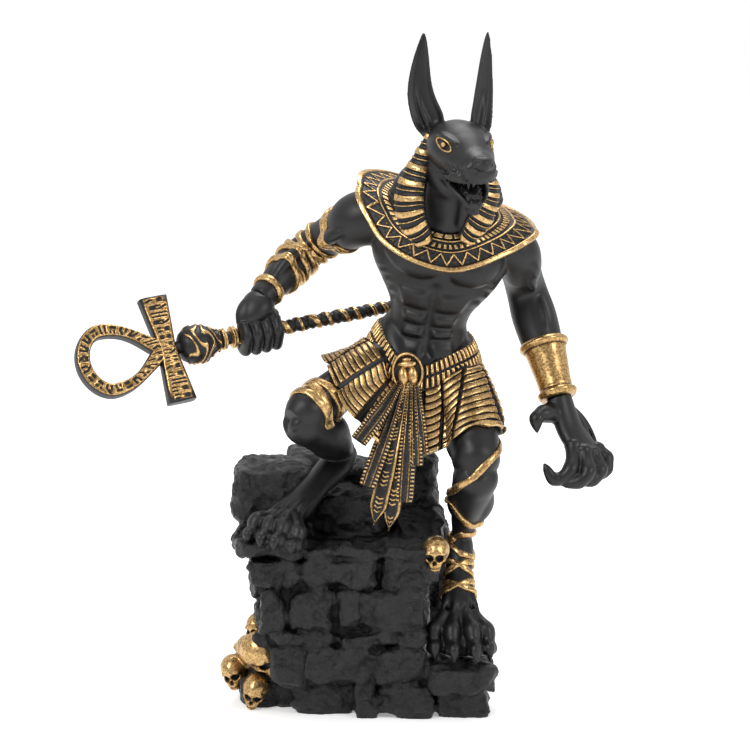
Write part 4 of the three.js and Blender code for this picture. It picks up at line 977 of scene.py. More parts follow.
lappets = [
    {
        "joints": [(27.5, -29.5, 253), (22.6, -32.5, 241), (18.4, -35.5, 229), (18.6, -37, 217.5), (24.6, -35.6, 206)],
        "face": unit(vec(-0.42, -0.9, 0.1)),
        "wide": [[0, 1.6], [1, 4.4], [2, 6.6], [3, 6.6], [3.6, 5.4], [4, 3.4]],
    },
    {
        "joints": [(50.5, -30, 243), (52, -33.5, 234), (51.6, -36, 225), (48, -37.5, 216), (42, -35.4, 207)],
        "face": unit(vec(0.5, -0.85, 0.1)), "wide": [[0, 2.2], [1, 3.8], [2, 5.2], [3, 5.6], [4, 3.4]],
    },
]


def lappetGrid(lappet, rows=260, around=40):
    # across = cos a, squared off; height = thick x sin a plus a rib over each band
    t, a = climb(rows), sweep(around)
    middle, out, across = pathFrame(lappet["joints"], t, lappet["face"])
    half = smoothRows(t * (len(lappet["joints"]) - 1), lappet["wide"])[..., 0]
    x, high = boxy(np.cos(a), 0.7), boxy(np.sin(a), 0.7)
    sag = 0.16 * (1 - x**2)  # bands hang a little lower in the middle
    band = ((t - sag * 0.1) * cloth["lappetBands"]) % 1  # a broad band, a thin groove, a narrow band, a groove
    rib = plateau(band, 0.05, 0.5, 0.06) + plateau(band, 0.66, 0.8, 0.05)
    front = ease(high / 0.3)
    height = cloth["thick"] * high + (rib - 0.7) * cloth["bandHigh"] * front - 0.9 * (1 - front)
    return laid(middle, across, half * x, out, height - 0.6 * x**2), ease((rib - 0.5) / 0.25) * front


hood = Limb(
    [onHead(-11, 0, 4), vec(37, -20, 244), vec(35, -14, 234), vec(34, -10, 222), vec(34, -6, 214)],
    [[0, 7, 5], [0.4, 9.6, 6.6], [1, 12.6, 8.4], [1.8, 17.4, 11], [2.4, 23, 12], [3, 25, 13], [4, 25, 13.4]],
    unit(vec(0.97, 0.2, -0.06)),
)


def hoodPart():
    # even ribs over the hood's tube; a faint gold fades out towards the crown
    at, angle = climb(240, 0, 3.2), sweep(120)
    rib = ripple(at / 3.2 * cloth["hoodBands"] + 0.12 * np.cos(angle))
    gild = cloth["hoodGild"] * ease((rib - 0.8) / 0.2) * ease((at - 0.9) / 0.6)
    return hood.at(at, angle, (rib - 0.6) * cloth["hoodHigh"]), gild


pieceOf("headCloth", [hoodPart(), *map(lappetGrid, lappets)])
print("head cloth done")

# Broad collar: neck band, short bars, zigzag and a thick rim

collar = {
    "neckBars": 40, "blocks": 26, "bars": 64, "teeth": 32, "ground": 0.7, "relief": 0.75, "rim": 0.5, "thinRim": 0.3,
    "edge": 1.0, "stipple": 0.3, "crown": 5, "neckTall": 7.4, "clear": 1.2, "mostRise": 6,
}
chestInside = vec(34, -2, 192)  # the collar stands away from here
collarNeck = [
    (50, -15, 215), (45, -25, 211), (35, -29.5, 209), (24, -26, 212), (18, -16, 218), (22, -2, 222), (34, 3, 222),
    (46, -3, 219),
]
collarEdge = [
    (72.4, -6, 206.5), (60.7, -23, 199.5), (34, -31.5, 193), (6.5, -23, 205), (-3.4, -3, 228.5), (8, 17, 230),
    (36, 26, 219), (63, 16, 213),
]


def onCollar(band, share, proud):
    # between the two loops by band, raised by crown x band (1 - band); proud leads away from the chest
    band, share, proud = np.broadcast_arrays(band, share, proud)
    spot = mix(spline(collarNeck, share, True), spline(collarEdge, share, True), band[..., None])
    spot[..., 2] += collar["crown"] * band * (1 - band)
    return spot + unit(spot - chestInside) * proud[..., None]


def clearOf(limbs, spots, gap):
    # the move that takes each spot a gap outside round limbs, the longest of (size + gap - distance) over 30 sections
    best = np.zeros(spots.shape[:-1])
    way = np.zeros_like(spots)
    for limb in limbs:
        places = np.linspace(limb.sections[0][0], limb.sections[-1][0], 30)
        middles = pathFrame(limb.joints, places / limb.spans, limb.side)[0]
        sizes = smoothRows(places, limb.sections).mean(1)
        for middle, size in zip(middles, sizes):
            off = spots - middle
            far = np.linalg.norm(off, axis=-1)
            short = size + gap - far
            closer = short > best
            best = np.where(closer, short, best)
            way = np.where(closer[..., None], off / np.maximum(far, 0.1)[..., None], way)
    return way * best[..., None]


def riseOver(spots):
    # the collar rises where a shoulder would come through it, by the part of the move that leads away from the chest
    pushed = clearOf([rightShoulder, leftShoulder, rightArm, leftArm], spots, collar["clear"])
    away = unit(spots - chestInside)
    return np.clip(np.sum(pushed * away, -1), 0, collar["mostRise"])


def collarGrid(rows=130, around=900):
    # from the neck out: a row of blocks, a rim, short bars, a line, a zigzag on stippled ground, the thick rim
    s, b = sweep(around, 1), climb(rows)
    zigzag = np.abs(((s * collar["teeth"]) % 1) - 0.5) * 2
    into = np.clip((b - 0.6) / 0.25, 0, 1)
    line = ease((0.13 - np.abs(into - zigzag)) / 0.1 + 0.5)
    rim, thin = plateau(b, 0.235, 0.31, 0.025), plateau(b, 0.525, 0.585, 0.02)
    edge = plateau(b, 0.87, 2, 0.02)
    raised = (
        plateau(b, 0.02, 0.21, 0.03) * bars(s * collar["blocks"], 0.8, 0.1) + rim
        + plateau(b, 0.34, 0.5, 0.03) * bars(s * collar["bars"], 0.58) + thin
        + plateau(b, 0.585, 0.87, 0.01) * line + edge
    )
    flat = onCollar(b, s, 0.0)
    stipple = noise(flat, 0.9, 7) * plateau(b, 0.6, 0.86, 0.02) * (1 - raised)
    height = collar["ground"] + collar["relief"] * raised + collar["rim"] * rim + collar["thinRim"] * thin
    height = height + collar["edge"] * edge + collar["stipple"] * stipple
    top = onCollar(b, s, height - 1.6 * ease((b - 0.955) / 0.045) ** 2 + riseOver(flat))
    under = np.array([[0.985, -1.6], [0.9, -3.2], [0.5, -3.2], [0.0, -2.4]])
    low = onCollar(under[:, :1], s, under[:, 1:])
    gild = np.vstack([np.maximum(raised, 0.55 * ease((stipple - 0.45) / 0.2)), np.zeros((4, around))])
    return np.vstack([top, low]), gild


def neckBandGrid(rows=36, around=420):
    # the neck loop rises by neckTall and draws in a little; two rows of bars stand between three lines
    s, h = sweep(around, 1), climb(rows)
    loop = spline(collarNeck, s, True) * np.ones_like(h)[..., None]
    out = unit((loop - vec(34, -14, 0)) * vec(1, 1, 0))
    lines = plateau(h, -1, 0.09, 0.03) + plateau(h, 0.5, 0.58, 0.03) + plateau(h, 0.92, 2, 0.03)
    lower, upper = plateau(h, 0.14, 0.46, 0.04), plateau(h, 0.63, 0.88, 0.04)
    raised = lines + lower * bars(s * collar["neckBars"]) + upper * bars(s * collar["neckBars"] + 0.5)
    risen = loop + upward * (collar["neckTall"] * h - 0.6)[..., None]
    outer = risen - out * (0.4 + 2.4 * h - 0.7 * raised)[..., None]
    inner = (risen - out * 4)[[-1, 0]]
    return np.vstack([outer, inner]), np.vstack([raised, np.zeros((2, around))])


pieceOf("broadCollar", [collarGrid(), neckBandGrid()], True)
print("collar done")

# Kilt: fifteen ribbed strips between black cords, under a belt of two rows of bars

kilt = {
    "strips": 15, "ribs": 9.5, "proud": 0.2, "ribHigh": 1.25, "hemHigh": 0.3, "cordDeep": 0.5, "fold": 0.9, "belly": 5,
    "clear": 2.0, "spread": 30, "belt": 58, "beltTall": 12.2, "barHigh": 1.2, "flare": 4.2, "hipFlare": 3.2,
}
kiltHem = [
    (13, -32.5, 112.5), (24.7, -31, 113), (36, -29.5, 117), (47.5, -22.5, 119.5), (54.6, -5, 120), (50, 17, 120),
    (27, 28, 120), (3, 23, 128), (-12.5, 8, 144), (-18.5, -9, 153), (-14.5, -28, 147.5), (-7, -37.5, 133),
]
kiltMiddle = vec(26, 4, 138)


def onKilt(share, down, proud):
    # from the belt loop to the hem loop, standing out by proud + belly x down (1 - down)
    share, down, proud = np.broadcast_arrays(share, down, proud)
    spot = mix(spline(kiltTop, share, True), spline(kiltHem, share, True), down[..., None])
    away = unit((spot - kiltMiddle) * vec(1, 1, 0))
    away[..., 2] = 0.35
    return spot + unit(away) * (proud + kilt["belly"] * down * (1 - down))[..., None]


def kiltGrid(rows=190, around=760):
    # on a strip the cloth stands out by proud + ribHigh x rib x its fullness; the cord between two strips lies cordDeep
    s, d = sweep(around, 1), climb(rows)
    strip = (s * kilt["strips"]) % 1
    number = np.floor(s * kilt["strips"])
    edge = np.minimum(strip, 1 - strip) * 2  # 0 on the cord between two strips, 1 in the middle of one
    step = d * kilt["ribs"] + 0.05 * np.cos(strip * turn) + 0.37 * number
    uneven = 0.75 + 0.45 * hashOf(np.floor(step), number)  # some ribs are fuller than others
    rib = ripple(step) ** 1.4
    hem = plateau(d, 0.925, 2, 0.012)
    rib = np.where(d > 0.915, hem, rib * ease((0.915 - d) / 0.01))
    onStrip = ease((edge - 0.1) / 0.1)
    height = onStrip * (kilt["proud"] + kilt["ribHigh"] * rib * uneven + kilt["hemHigh"] * hem)
    height = height - kilt["cordDeep"] * (1 - onStrip)
    fold = kilt["fold"] * (np.sin(strip * pi) - 0.5) * d
    pushed = clearOf([rightThigh, leftThigh], onKilt(s, d, fold), kilt["clear"])
    for _ in range(kilt["spread"]):  # the push is spread out, so that the cloth bends softly over the thighs
        pushed = 0.4 * pushed + 0.15 * (np.roll(pushed, 1, 1) + np.roll(pushed, -1, 1)) + 0.15 * (
            np.vstack([pushed[:1], pushed[:-1]]) + np.vstack([pushed[1:], pushed[-1:]]))
    pushed = pushed * ease(d / 0.09)[..., None]
    tuck = 1.2 * ease((d - 0.985) / 0.015)
    outer = onKilt(s, d, fold + height - tuck) + pushed
    under = np.array([[0.995, -1.8], [0.8, -2.2], [0.3, -3.2], [0.02, -4.0]])
    inner = onKilt(s, under[:, :1], under[:, 1:]) + pushed[(under[:, 0] * (rows - 1)).astype(int)]
    gild = onStrip * ease((rib - 0.45) / 0.25)
    return np.vstack([outer, inner]), np.vstack([gild, np.zeros((4, around))])


def beltGrid(rows=50, around=900):
    # a hoop on the kilt's top loop, wider below than above; two rows of rounded bars stand out of it
    s, h = sweep(around, 1), climb(rows)
    upper = plateau(h, 0.52, 0.98, 0.04)
    lower = plateau(h, 0.03, 0.48, 0.04)
    loop = spline(kiltTop, np.append(s, 1), True)
    steps = np.linalg.norm(np.diff(loop, axis=0), axis=1)
    far = ((np.cumsum(steps) - steps) / steps.sum())[None, :]  # share of the way round, so that the bars are even
    bar = np.sqrt(np.clip(1 - (np.abs((far * kilt["belt"]) % 1 - 0.5) * 2 / 0.72) ** 2.2, 0, 1))
    raised = bar * (upper + lower)
    hip = (0.5 + 0.5 * np.cos((s - 0.8) * turn)) ** 3  # the belt stands out more over the raised leg
    crown = 3.2 - (kilt["flare"] + kilt["hipFlare"] * hip) * h + 0.8 * hip - 2.0 * (h - 0.5) ** 2
    rise = upward * (kilt["beltTall"] * h - 2.8)[..., None]
    outer = onKilt(s, 0.0, crown + kilt["barHigh"] * raised) + rise
    low = onKilt(s, 0.0, np.array([[-7.0], [-4.0]]))
    inner = low + upward * np.array([[kilt["beltTall"] - 3.0], [-2.8]])[..., None]
    return np.vstack([outer, inner]), np.vstack([ease((raised - 0.35) / 0.25), np.zeros((2, around))])


pieceOf("kilt", [kiltGrid()], True)
pieceOf("belt", [beltGrid()], True)

# Oval clasp with a beetle, and the sash of seven bands

clasp = {"middle": vec(17.8, -18.4, 147.6), "half": 6.9, "tall": 8.7}
claspFace = unit(vec(-0.12, -1, 0.12))
claspUp = vec(-0.1, 0.1, 1)
claspUp = unit(claspUp - np.dot(claspUp, claspFace) * claspFace)
claspAcross = np.cross(claspFace, claspUp)


def onClasp(x, z, out):
    # middle + across x x + up x z + face x out, in millimetres
    x, z, out = (np.asarray(v, float)[..., None] for v in np.broadcast_arrays(x, z, out))
    return clasp["middle"] + claspAcross * x + claspUp * z + claspFace * out


def claspGrid(around=120):
    # rings from the back edge over the round rim and down to a flat recess that closes in the middle
    a = sweep(around)
    profile = np.array([
        [0.94, -4.5, 0], [1.0, 0.2, 0.8], [1.01, 1.2, 1], [0.98, 1.9, 1], [0.93, 2.1, 1], [0.88, 1.9, 1],
        [0.85, 1.3, 0.8], [0.83, 0.5, 0], [0.6, 0.3, 0], [0.3, 0.4, 0], [0.02, 0.45, 0],
    ])
    scale, out, gild = profile[:, :1], profile[:, 1:2], profile[:, 2:]
    grid = onClasp(scale * clasp["half"] * np.cos(a), scale * clasp["tall"] * np.sin(a), out + 0 * a)
    return grid, gild


def beetlePart(x, z, wide, tall, high):
    # half an egg on the recess: x = wide cos a cos b, z = tall sin a cos b, out = high sin b
    b, a = climb(24, -0.3, pi / 2 - 0.02), sweep(48)
    out = 0.3 + high * np.sin(b)
    grid = onClasp(x + wide * np.cos(a) * np.cos(b), z + tall * np.sin(a) * np.cos(b), out)
    return grid, ease(np.sin(b) / 0.3)


pieceOf("clasp", [
    claspGrid(), beetlePart(-2.15, -1.9, 2.3, 4.3, 2.3), beetlePart(2.15, -1.9, 2.3, 4.3, 2.3),
    beetlePart(0, 3.4, 4.3, 1.7, 2.0), beetlePart(0, 5.5, 2.2, 0.9, 1.2),
])

sash = {
    "chevrons": 1.7, "patch": 9.5, "comb": 1.5, "proud": -5.4, "thick": 1.2, "high": 0.75, "combed": (0, 1, 4, 5, 6),
}
# each band from the figure's right: its tip, its width, and how far it tapers to a point
sashBands = [
    (vec(-3.4, -42.5, 122), 6, 0), (vec(0, -41, 101.5), 6, 0.3), (vec(3, -40.6, 84.2), 6.4, 1),
    (vec(9.4, -40.4, 81.6), 6.4, 1), (vec(16, -38.6, 94), 6.2, 0.4), (vec(21.2, -36.6, 109.6), 5, 0.3),
    (vec(24.4, -35, 114.4), 4, 0),
]


def sashGrid(order, tip, wide, taper, rows=220, around=44):
    # a strip that widens from the clasp; gold cords run down both edges, and chevrons down the middle
    start = vec(14.2 + 1.25 * order, -17.6 - 0.25 * order, 142.5)
    bulge = mix(start, tip, 0.42) + vec(0, sash["proud"] + (order % 2) * 1.2, 0)
    t, a = climb(rows), sweep(around)
    middle, out, across = pathFrame([start, bulge, tip], t, unit(vec(-0.12, -1, 0.15)))
    point = ease((t - (0.86 if taper == 1 else 0.93)) / 0.14)
    half = wide * (0.26 + 0.36 * np.minimum(1, t * 1.5)) * (1 - 0.96 * taper * point**1.3)
    x, high = boxy(np.cos(a), 0.75), boxy(np.sin(a), 0.75)
    edge = np.abs(x)
    cord = bell(edge, 0.78, 0.2)
    length = np.linalg.norm(tip - start)
    patch = plateau((t * length / sash["patch"] + 0.31 * order) % 1, 0.08, 0.86, 0.06)  # chevrons with gaps between
    marks = bars(t * length / sash["chevrons"] + 0.9 * edge, 0.42, 0.25) * plateau(edge, -1, 0.46, 0.1) * patch
    if order in sash["combed"]:  # the outer bands have combed edges
        comb = bars(t * length / sash["comb"], 0.55, 0.25) * plateau(edge, 0.5, 2, 0.08)
        cord, marks = 0.85 * bell(edge, 0.42, 0.1), np.maximum(0.8 * comb, 0.5 * marks)
    front = ease(high / 0.3)
    raised = np.maximum(cord, marks * 0.9) * front
    height = sash["thick"] * high + raised * sash["high"] * (high > 0) - 0.3 * (1 - front)
    return laid(middle, across, half * x, out, height), ease((raised - 0.4) / 0.3)


pieceOf("sash", [sashGrid(order, *band) for order, band in enumerate(sashBands)])
print("kilt, belt, clasp and sash done")

# Gold wrappings on the right arm and both legs, and the cuff

wrap = {"lift": 0.3, "half": 1.35, "thick": 0.95, "crease": 0.16, "wave": 0.12}


def strap(middle, out, half, thick, phase=0.0, crease=0.0):
    # a flat oval on the middle line: across = half x cos a, out = thick x sin a, both squared off and small at the
    # ends; its width waves a little, and slanting creases run over its upper side
    t, a = climb(len(middle)), sweep(20)
    across = unit(np.cross(unit(np.gradient(middle, axis=0)), out))
    ends = np.sqrt(np.clip(np.minimum(t, 1 - t) * 14, 0.02, 1))
    x, y = boxy(np.cos(a), 0.7), boxy(np.sin(a), 0.8)
    wide = wrap["half"] * half * ends * (1 + wrap["wave"] * np.sin(t * 31 + phase)) * x
    high = wrap["thick"] * thick * ends * y + crease * np.sin(t * 44 + x * 2.2) * np.clip(y, 0, 1)
    return laid(middle[:, None], across[:, None], wide, out[:, None], high)


def ring(skin, limb, spot, half=1.0, lean=0.0, thick=1.0, start=pi, most=5.0):
    # once round the limb at place = spot + lean x cos(angle), laid on the skin at most so far out; its ends lap over
    coarse = np.linspace(0, turn * 1.05, 60) + start
    t, steps = np.linspace(0, 1, 160), np.linspace(0, 1, 60)
    at, bearing = np.interp(t, steps, spot + lean * np.cos(coarse)), np.interp(t, steps, coarse)
    inside = limb.at(at, bearing, 0.0)
    out = unit(limb.at(at, bearing, 2.0) - inside)
    off = np.sum((ontoSkin(skin, inside, -out, 9.0) - inside) * out, -1)
    middle = smoothLine(inside + out * np.clip(off, -2.5, most)[:, None], 8) + out * wrap["lift"]
    return strap(middle, out, half, thick, half * 9, wrap["crease"])


def wound(skin, axis, points, half=1.0):
    # a strap through points round a leg: each spot is cast onto the skin towards the nearest spot of the axis
    line = spline(points, np.linspace(0, 1, 170))
    core = spline(axis, np.linspace(0, 1, 60))
    out = unit(line - core[np.argmin(np.linalg.norm(line[:, None] - core[None], axis=-1), axis=1)])
    return strap(smoothLine(ontoSkin(skin, line, -out, 12.0), 6) + out * wrap["lift"], out, half, 1.0)


# each arm ring: place on the arm in joints, width, lean, thickness
armRings = [
    (0.31, 1.1), (0.4, 1.1, 0.02, 1.1), (0.76, 0.9, 0.05), (1.1, 1.0, -0.13), (1.06, 1.1, 0.17, 1.2),
    (1.36, 1.0, -0.06), (1.47, 1.15, 0.05, 1.1), (1.56, 1.1, -0.07, 1.2), (1.84, 1.25, -0.03, 1.1),
]
pieceOf("armWraps", [(ring(body, rightArm, *row), fullGild) for row in armRings])

ankleLine = [vec(43, -12, 84), vec(41.4, -9, 72), vec(40.4, -13, 64)]
leftLegLine = [pose["leftHip"], vec(44, -13, 126), vec(47.5, -31, 105), vec(44.4, -19, 90), pose["leftHock"]]
kneeRings = [(1.36, 1.5, 0.05, 1.0), (1.5, 1.7, -0.06, 1.2), (1.63, 1.5, 0.06, 1.0)]
footRings = [(0.9, 0.14), (0.9, -0.14), (1.38, 0.12), (1.36, -0.14)]
kneeTurns = [
    ([(52, 2, 118), (57.5, -14, 117), (55, -32, 114), (46, -42, 106), (36.5, -34, 98.5), (35.5, -22, 95),
      (44, -11, 94)], 1.15),
    ([(36, -24, 91), (41, -27, 82), (46, -25, 78), (52, -16, 80), (47, -7, 85), (38, -12, 90), (36, -24, 91)], 1.05),
]
ankleTurns = [
    [(34.5, -12, 72), (41, -20, 74), (48.5, -12, 74.5), (42, -1, 73), (34.5, -12, 72)],
    [(34.5, -12, 71), (41, -20, 67.5), (48.5, -13, 64), (42, -1, 68), (34.5, -12, 71)],
]
legWraps = [
    *[ring(rightLeg, rightThigh, *row, 0, 2) for row in kneeRings],
    *[wound(leftLeg, leftLegLine, *row) for row in kneeTurns],
    *[wound(leftLeg, ankleLine, points) for points in ankleTurns],
    *[ring(leftLeg, leftInstep, at, 0.95, lean, 1, 4.7) for at, lean in footRings],
]
pieceOf("legWraps", [(grid, fullGild) for grid in legWraps])

cuff = {"gild": 0.92, "groove": 0.5, "grooves": (0.145, 0.865)}
cuffTop = spline(leftArm.joints, 0.75) + vec(0.5, 0, 0)
cuffLimb = Limb(
    [cuffTop, pose["leftWrist"]],
    [
        [0, 10.2, 10.2], [0.02, 10.7, 10.7], [0.1, 10.7, 10.7], [0.13, 9.8, 9.8], [0.16, 9.5, 9.5], [0.4, 8.5, 8.5],
        [0.8, 7.5, 7.5], [0.86, 7.5, 7.5], [0.89, 8.5, 8.5], [0.97, 8.5, 8.5], [1, 8, 8],
    ],
)
cuffGild = cuff["gild"] - cuff["groove"] * sum(bell(climb(90), groove, 0.014) for groove in cuff["grooves"])
pieceOf("cuff", [(cuffLimb.skin(90, 72), cuffGild)])
print("wraps and cuff done")

# The staff: ankh, bud, rings, shaft with a spiral ribbon, and round foot

ankh = {
    "half": 16.5, "reach": 41.6, "innerHalf": 10.6, "innerReach": 35.4, "arm": 24, "armEnd": 6.5, "armRoot": 3.7,
    "thick": 6.6, "corner": 0.45, "stroke": 0.55, "gild": 0.92, "loopMarks": 22, "armMarks": 7,
}
shaft = {"wind": 7.0, "ribbon": 0.65, "rope": 0.25, "ropeStep": 3.1, "leaf": 4.4, "leafHigh": 0.6}


def bezier(a, b, c, d, t):
    # a cubic from a to d, drawn towards b and c
    t = t[:, None]
    return (1 - t) ** 3 * a + 3 * (1 - t) ** 2 * t * b + 3 * (1 - t) * t**2 * c + t**3 * d


def dropOutline(root, neck, belly, half, reach):
    # away from the crossing is minus; one side is two cubic arcs from the root to the reach, mirrored
    wide = (reach + belly) / 2 - 1.5
    arc = lambda *corners: bezier(*[np.array(corner, float) for corner in corners], np.linspace(0, 1, 100))
    side = np.vstack([
        arc((-root, 0), (-neck, 0.46 * half), (-0.6 * belly, half), (-belly, half)),
        arc((-belly, half), (-wide - 1.5, half), (-reach, 0.55 * half), (-reach, 0))[1:],
    ])
    line = np.vstack([side, (side * [1, -1])[-2::-1]])
    length = np.append(0, np.cumsum(np.linalg.norm(np.diff(line, axis=0), axis=1)))
    s = np.linspace(0, length[-1], 320, endpoint=False)
    return np.stack([np.interp(s, length, line[:, 0]), np.interp(s, length, line[:, 1])], -1)


def strokes(along, across):
    # plain marks in cells along the band: bars along, bars across, dots or a slant, as the cell's number falls
    cell = np.floor(along)
    u, v = along - cell - 0.5, across
    kind = hashOf(cell, 3.0 + np.floor(v * 0.9))
    row = bars(v * 1.3 + 0.5 * kind, 0.45, 0.25) * plateau(np.abs(u), -1, 0.34, 0.08)
    column = bars(u * 2.2, 0.45, 0.25) * plateau(np.abs(v), -1, 0.72, 0.1)
    dots = bars(u * 2.2, 0.6, 0.3) * bars(v * 1.5, 0.6, 0.3)
    slant = bars(u * 1.8 + v * 1.1, 0.5, 0.25) * plateau(np.abs(u), -1, 0.38, 0.08)
    marks = np.where(kind < 0.3, row, np.where(kind < 0.55, column, np.where(kind < 0.75, dots, slant)))
    return marks * plateau(np.abs(v), -1, 0.78, 0.08)


def inked(along, x, high, half, face=1.0):
    # the two faces of a squared bar: out = half x high, less stroke where a mark is; the marks stay black
    onFace = ease((np.abs(high) - 0.7) / 0.2) * face
    marks = strokes(along, x) * onFace
    return high * half - np.sign(high) * ankh["stroke"] * marks, ankh["gild"] * onFace * (1 - marks)


def loopGrid(around=56):
    # across the band x = cos a from the inner to the outer outline, and high = sin a, both squared off
    outer = dropOutline(-5, 9, 28, ankh["half"], ankh["reach"])
    inner = dropOutline(7.6, 13, 27.5, ankh["innerHalf"], ankh["innerReach"])
    a = sweep(around)
    x, high = boxy(np.cos(a), ankh["corner"]), boxy(np.sin(a), ankh["corner"])
    flat = mix(inner[:, None], outer[:, None], ((x + 1) / 2)[..., None])
    out, gild = inked(climb(321)[:-1] * ankh["loopMarks"], x, high, ankh["thick"] / 2)
    return onStaff(flat[..., 0], flat[..., 1], out), gild


def armsGrid(rows=180, around=56):
    # one bar through the crossing: half its width grows from armRoot to armEnd by |t| to the 0.9
    t, a = climb(rows, -1, 1), sweep(around)
    x, high = boxy(np.cos(a), ankh["corner"]), boxy(np.sin(a), ankh["corner"])
    half = mix(ankh["armRoot"], ankh["armEnd"], np.abs(t) ** 0.9)
    ends = plateau(t, -0.985, 0.985, 0.01)
    out, gild = inked(t * ankh["armMarks"] + 50, x, high, ankh["thick"] / 2 + 0.25, ends)
    return onStaff(half * x, ankh["arm"] * t + 0 * x, out), gild


def turnedGrid(rows, relief=None, around=60, fine=8):
    # a profile of away and radius turned about the shaft's line: down = radius x cos a, out = radius x sin a
    rows = np.array(rows, float)
    steps = [np.linspace(a, b, fine, endpoint=False) for a, b in zip(rows[:-1, 0], rows[1:, 0])]
    away, a = np.append(np.concatenate(steps), rows[-1, 0])[:, None], sweep(around)
    proud, gild = relief(away, a) if relief else (0, fullGild)
    radius = smoothRows(away, rows)[..., 0] + proud
    return onStaff(away + 0 * a, radius * np.cos(a), radius * np.sin(a)), gild


def shaftRelief(away, a):
    # a black core with lumps, and a gold ribbon that winds round it once in every wind millimetres
    wind = (away / shaft["wind"] + a / turn + 0.12 * np.sin(away * 0.5)) % 1
    band = plateau(wind, 0.0, 0.4, 0.1)
    rope = shaft["rope"] * np.sin((away / shaft["ropeStep"] + a / turn) * turn) * (1 - band)
    fade = plateau(away, 33, 117, 1.5)
    return (shaft["ribbon"] * band + rope) * fade, ease((band - 0.4) / 0.3) * fade


def budRelief(away, a):
    # leaves: black scales edged by gold V lines that point back along the shaft
    leaf = 0.5 + 0.5 * np.cos(3 * a + 0.9 * np.sin(away * 0.6))
    v = ((away - 6) / shaft["leaf"] + leaf * 1.1) % 1
    line = plateau(v, 0.0, 0.42, 0.08) * plateau(away, 7, 24.5, 1)
    return shaft["leafHigh"] * line - 0.25, line


pieceOf("ankhLoop", [loopGrid()], True, "ankh_staff")
pieceOf("ankhStaff", [
    armsGrid(),
    turnedGrid([[3, 2.9], [30, 2.9], [60, 2.9], [90, 2.75], [110, 2.4], [118, 2.2]], shaftRelief, 64, 90),
    turnedGrid(
        [[5.2, 2], [6.2, 5], [8.5, 7.4], [13, 8.7], [18, 7.9], [22, 5.4], [25.2, 3.2], [25.6, 2]], budRelief, 120, 16,
    ),
    turnedGrid([[24.9, 3], [25.2, 4.2], [26.3, 4.6], [27.4, 4.2], [27.7, 3]]),
    turnedGrid([[29.7, 3], [30, 4.3], [31.2, 4.7], [32.4, 4.3], [32.8, 3]]),
    turnedGrid([[33.4, 2.8], [33.8, 3.6], [34.6, 3.6], [35, 2.8]]),
    turnedGrid([[116, 2.4], [117, 3.6], [119.6, 4.3], [122, 3.9], [123.6, 2.4], [124, 0.6]]),
], False, "ankh_staff")
print("staff done")

# Ruined wall: stone courses, loose blocks on top, ledge and rubble in one rough cast

wall = {"voxel": 0.75, "lump": 1.1, "chip": 1.5, "grit": 0.35, "gap": 0.45, "tilt": 0.8, "sideGap": 0.6}
# a front course: its floor and top, the joints between its stones, and how far forward each stone stands
frontCourses = [
    (0, 15.4, [-33, -6, 4.5, 29], [-40.5, -46, -46.5]), (15.6, 31.4, [-42, -27, 2.5, 26.5], [-44, -46.5, -47.5]),
    (31.6, 38.4, [-42, -12, 13, 26], [-46, -48.5, -47]),
    (38.6, 57.4, [-46.5, -35, -14, -3.5, 27], [-46, -47, -46.5, -47.5]),
    (57.6, 70.4, [-51.5, -28, 5.5, 31.5], [-46, -47.5, -46]), (70.6, 77, [-28, 6, 31], [-45.5, -46.5]),
]
# a side course: its floor, top, left, right and back, and the joint in its left side
sideCourses = [
    (0, 24, -40, 37, 38, 2), (24.5, 49, -48.5, 37.5, 36.5, -12), (49.5, 73, -50.5, 37, 35, 4),
]
topStones = [
    ((-57.6, -48, 71.5), (-27, -10, 79.5)), ((-58.6, -20, 78.5), (-24, 12, 105)), ((-36, 4, 72), (-18, 27, 107)),
    ((-26, -14, 72), (8, 34, 92)), ((-20, 8, 91), (4, 30, 101)), ((4, 2, 72), (31, 34, 91)),
    ((11, 4, 90), (31.5, 24, 105)), ((12, -16, 69), (33, 16, 83)),
]
ledge = [((26, -52, 12), (56, -20, 24.2)), ((30, -46, 0), (53, -18, 13))]


def block(low, high, seed, power=0.38, swell=0.5, rough=1.0, rows=30, around=44):
    # a rounded block: each axis = half size x boxy cos or sin, like a ball whose sines are squared off, warped by noise
    low, high = np.asarray(low, float), np.asarray(high, float)
    b, a = climb(rows, -pi / 2 + 0.01, pi / 2 - 0.01), sweep(around)
    x, y, flat, up = (boxy(w, power) for w in (np.cos(a), np.sin(a), np.cos(b), np.sin(b)))
    shape = np.stack(np.broadcast_arrays(flat * x, flat * y, up), -1)
    half = (high - low) / 2 + swell
    places = (low + high) / 2 + shape * half
    warp = np.stack([noise(places, 11, seed + k) for k in range(3)], -1)
    return places + warp * rough


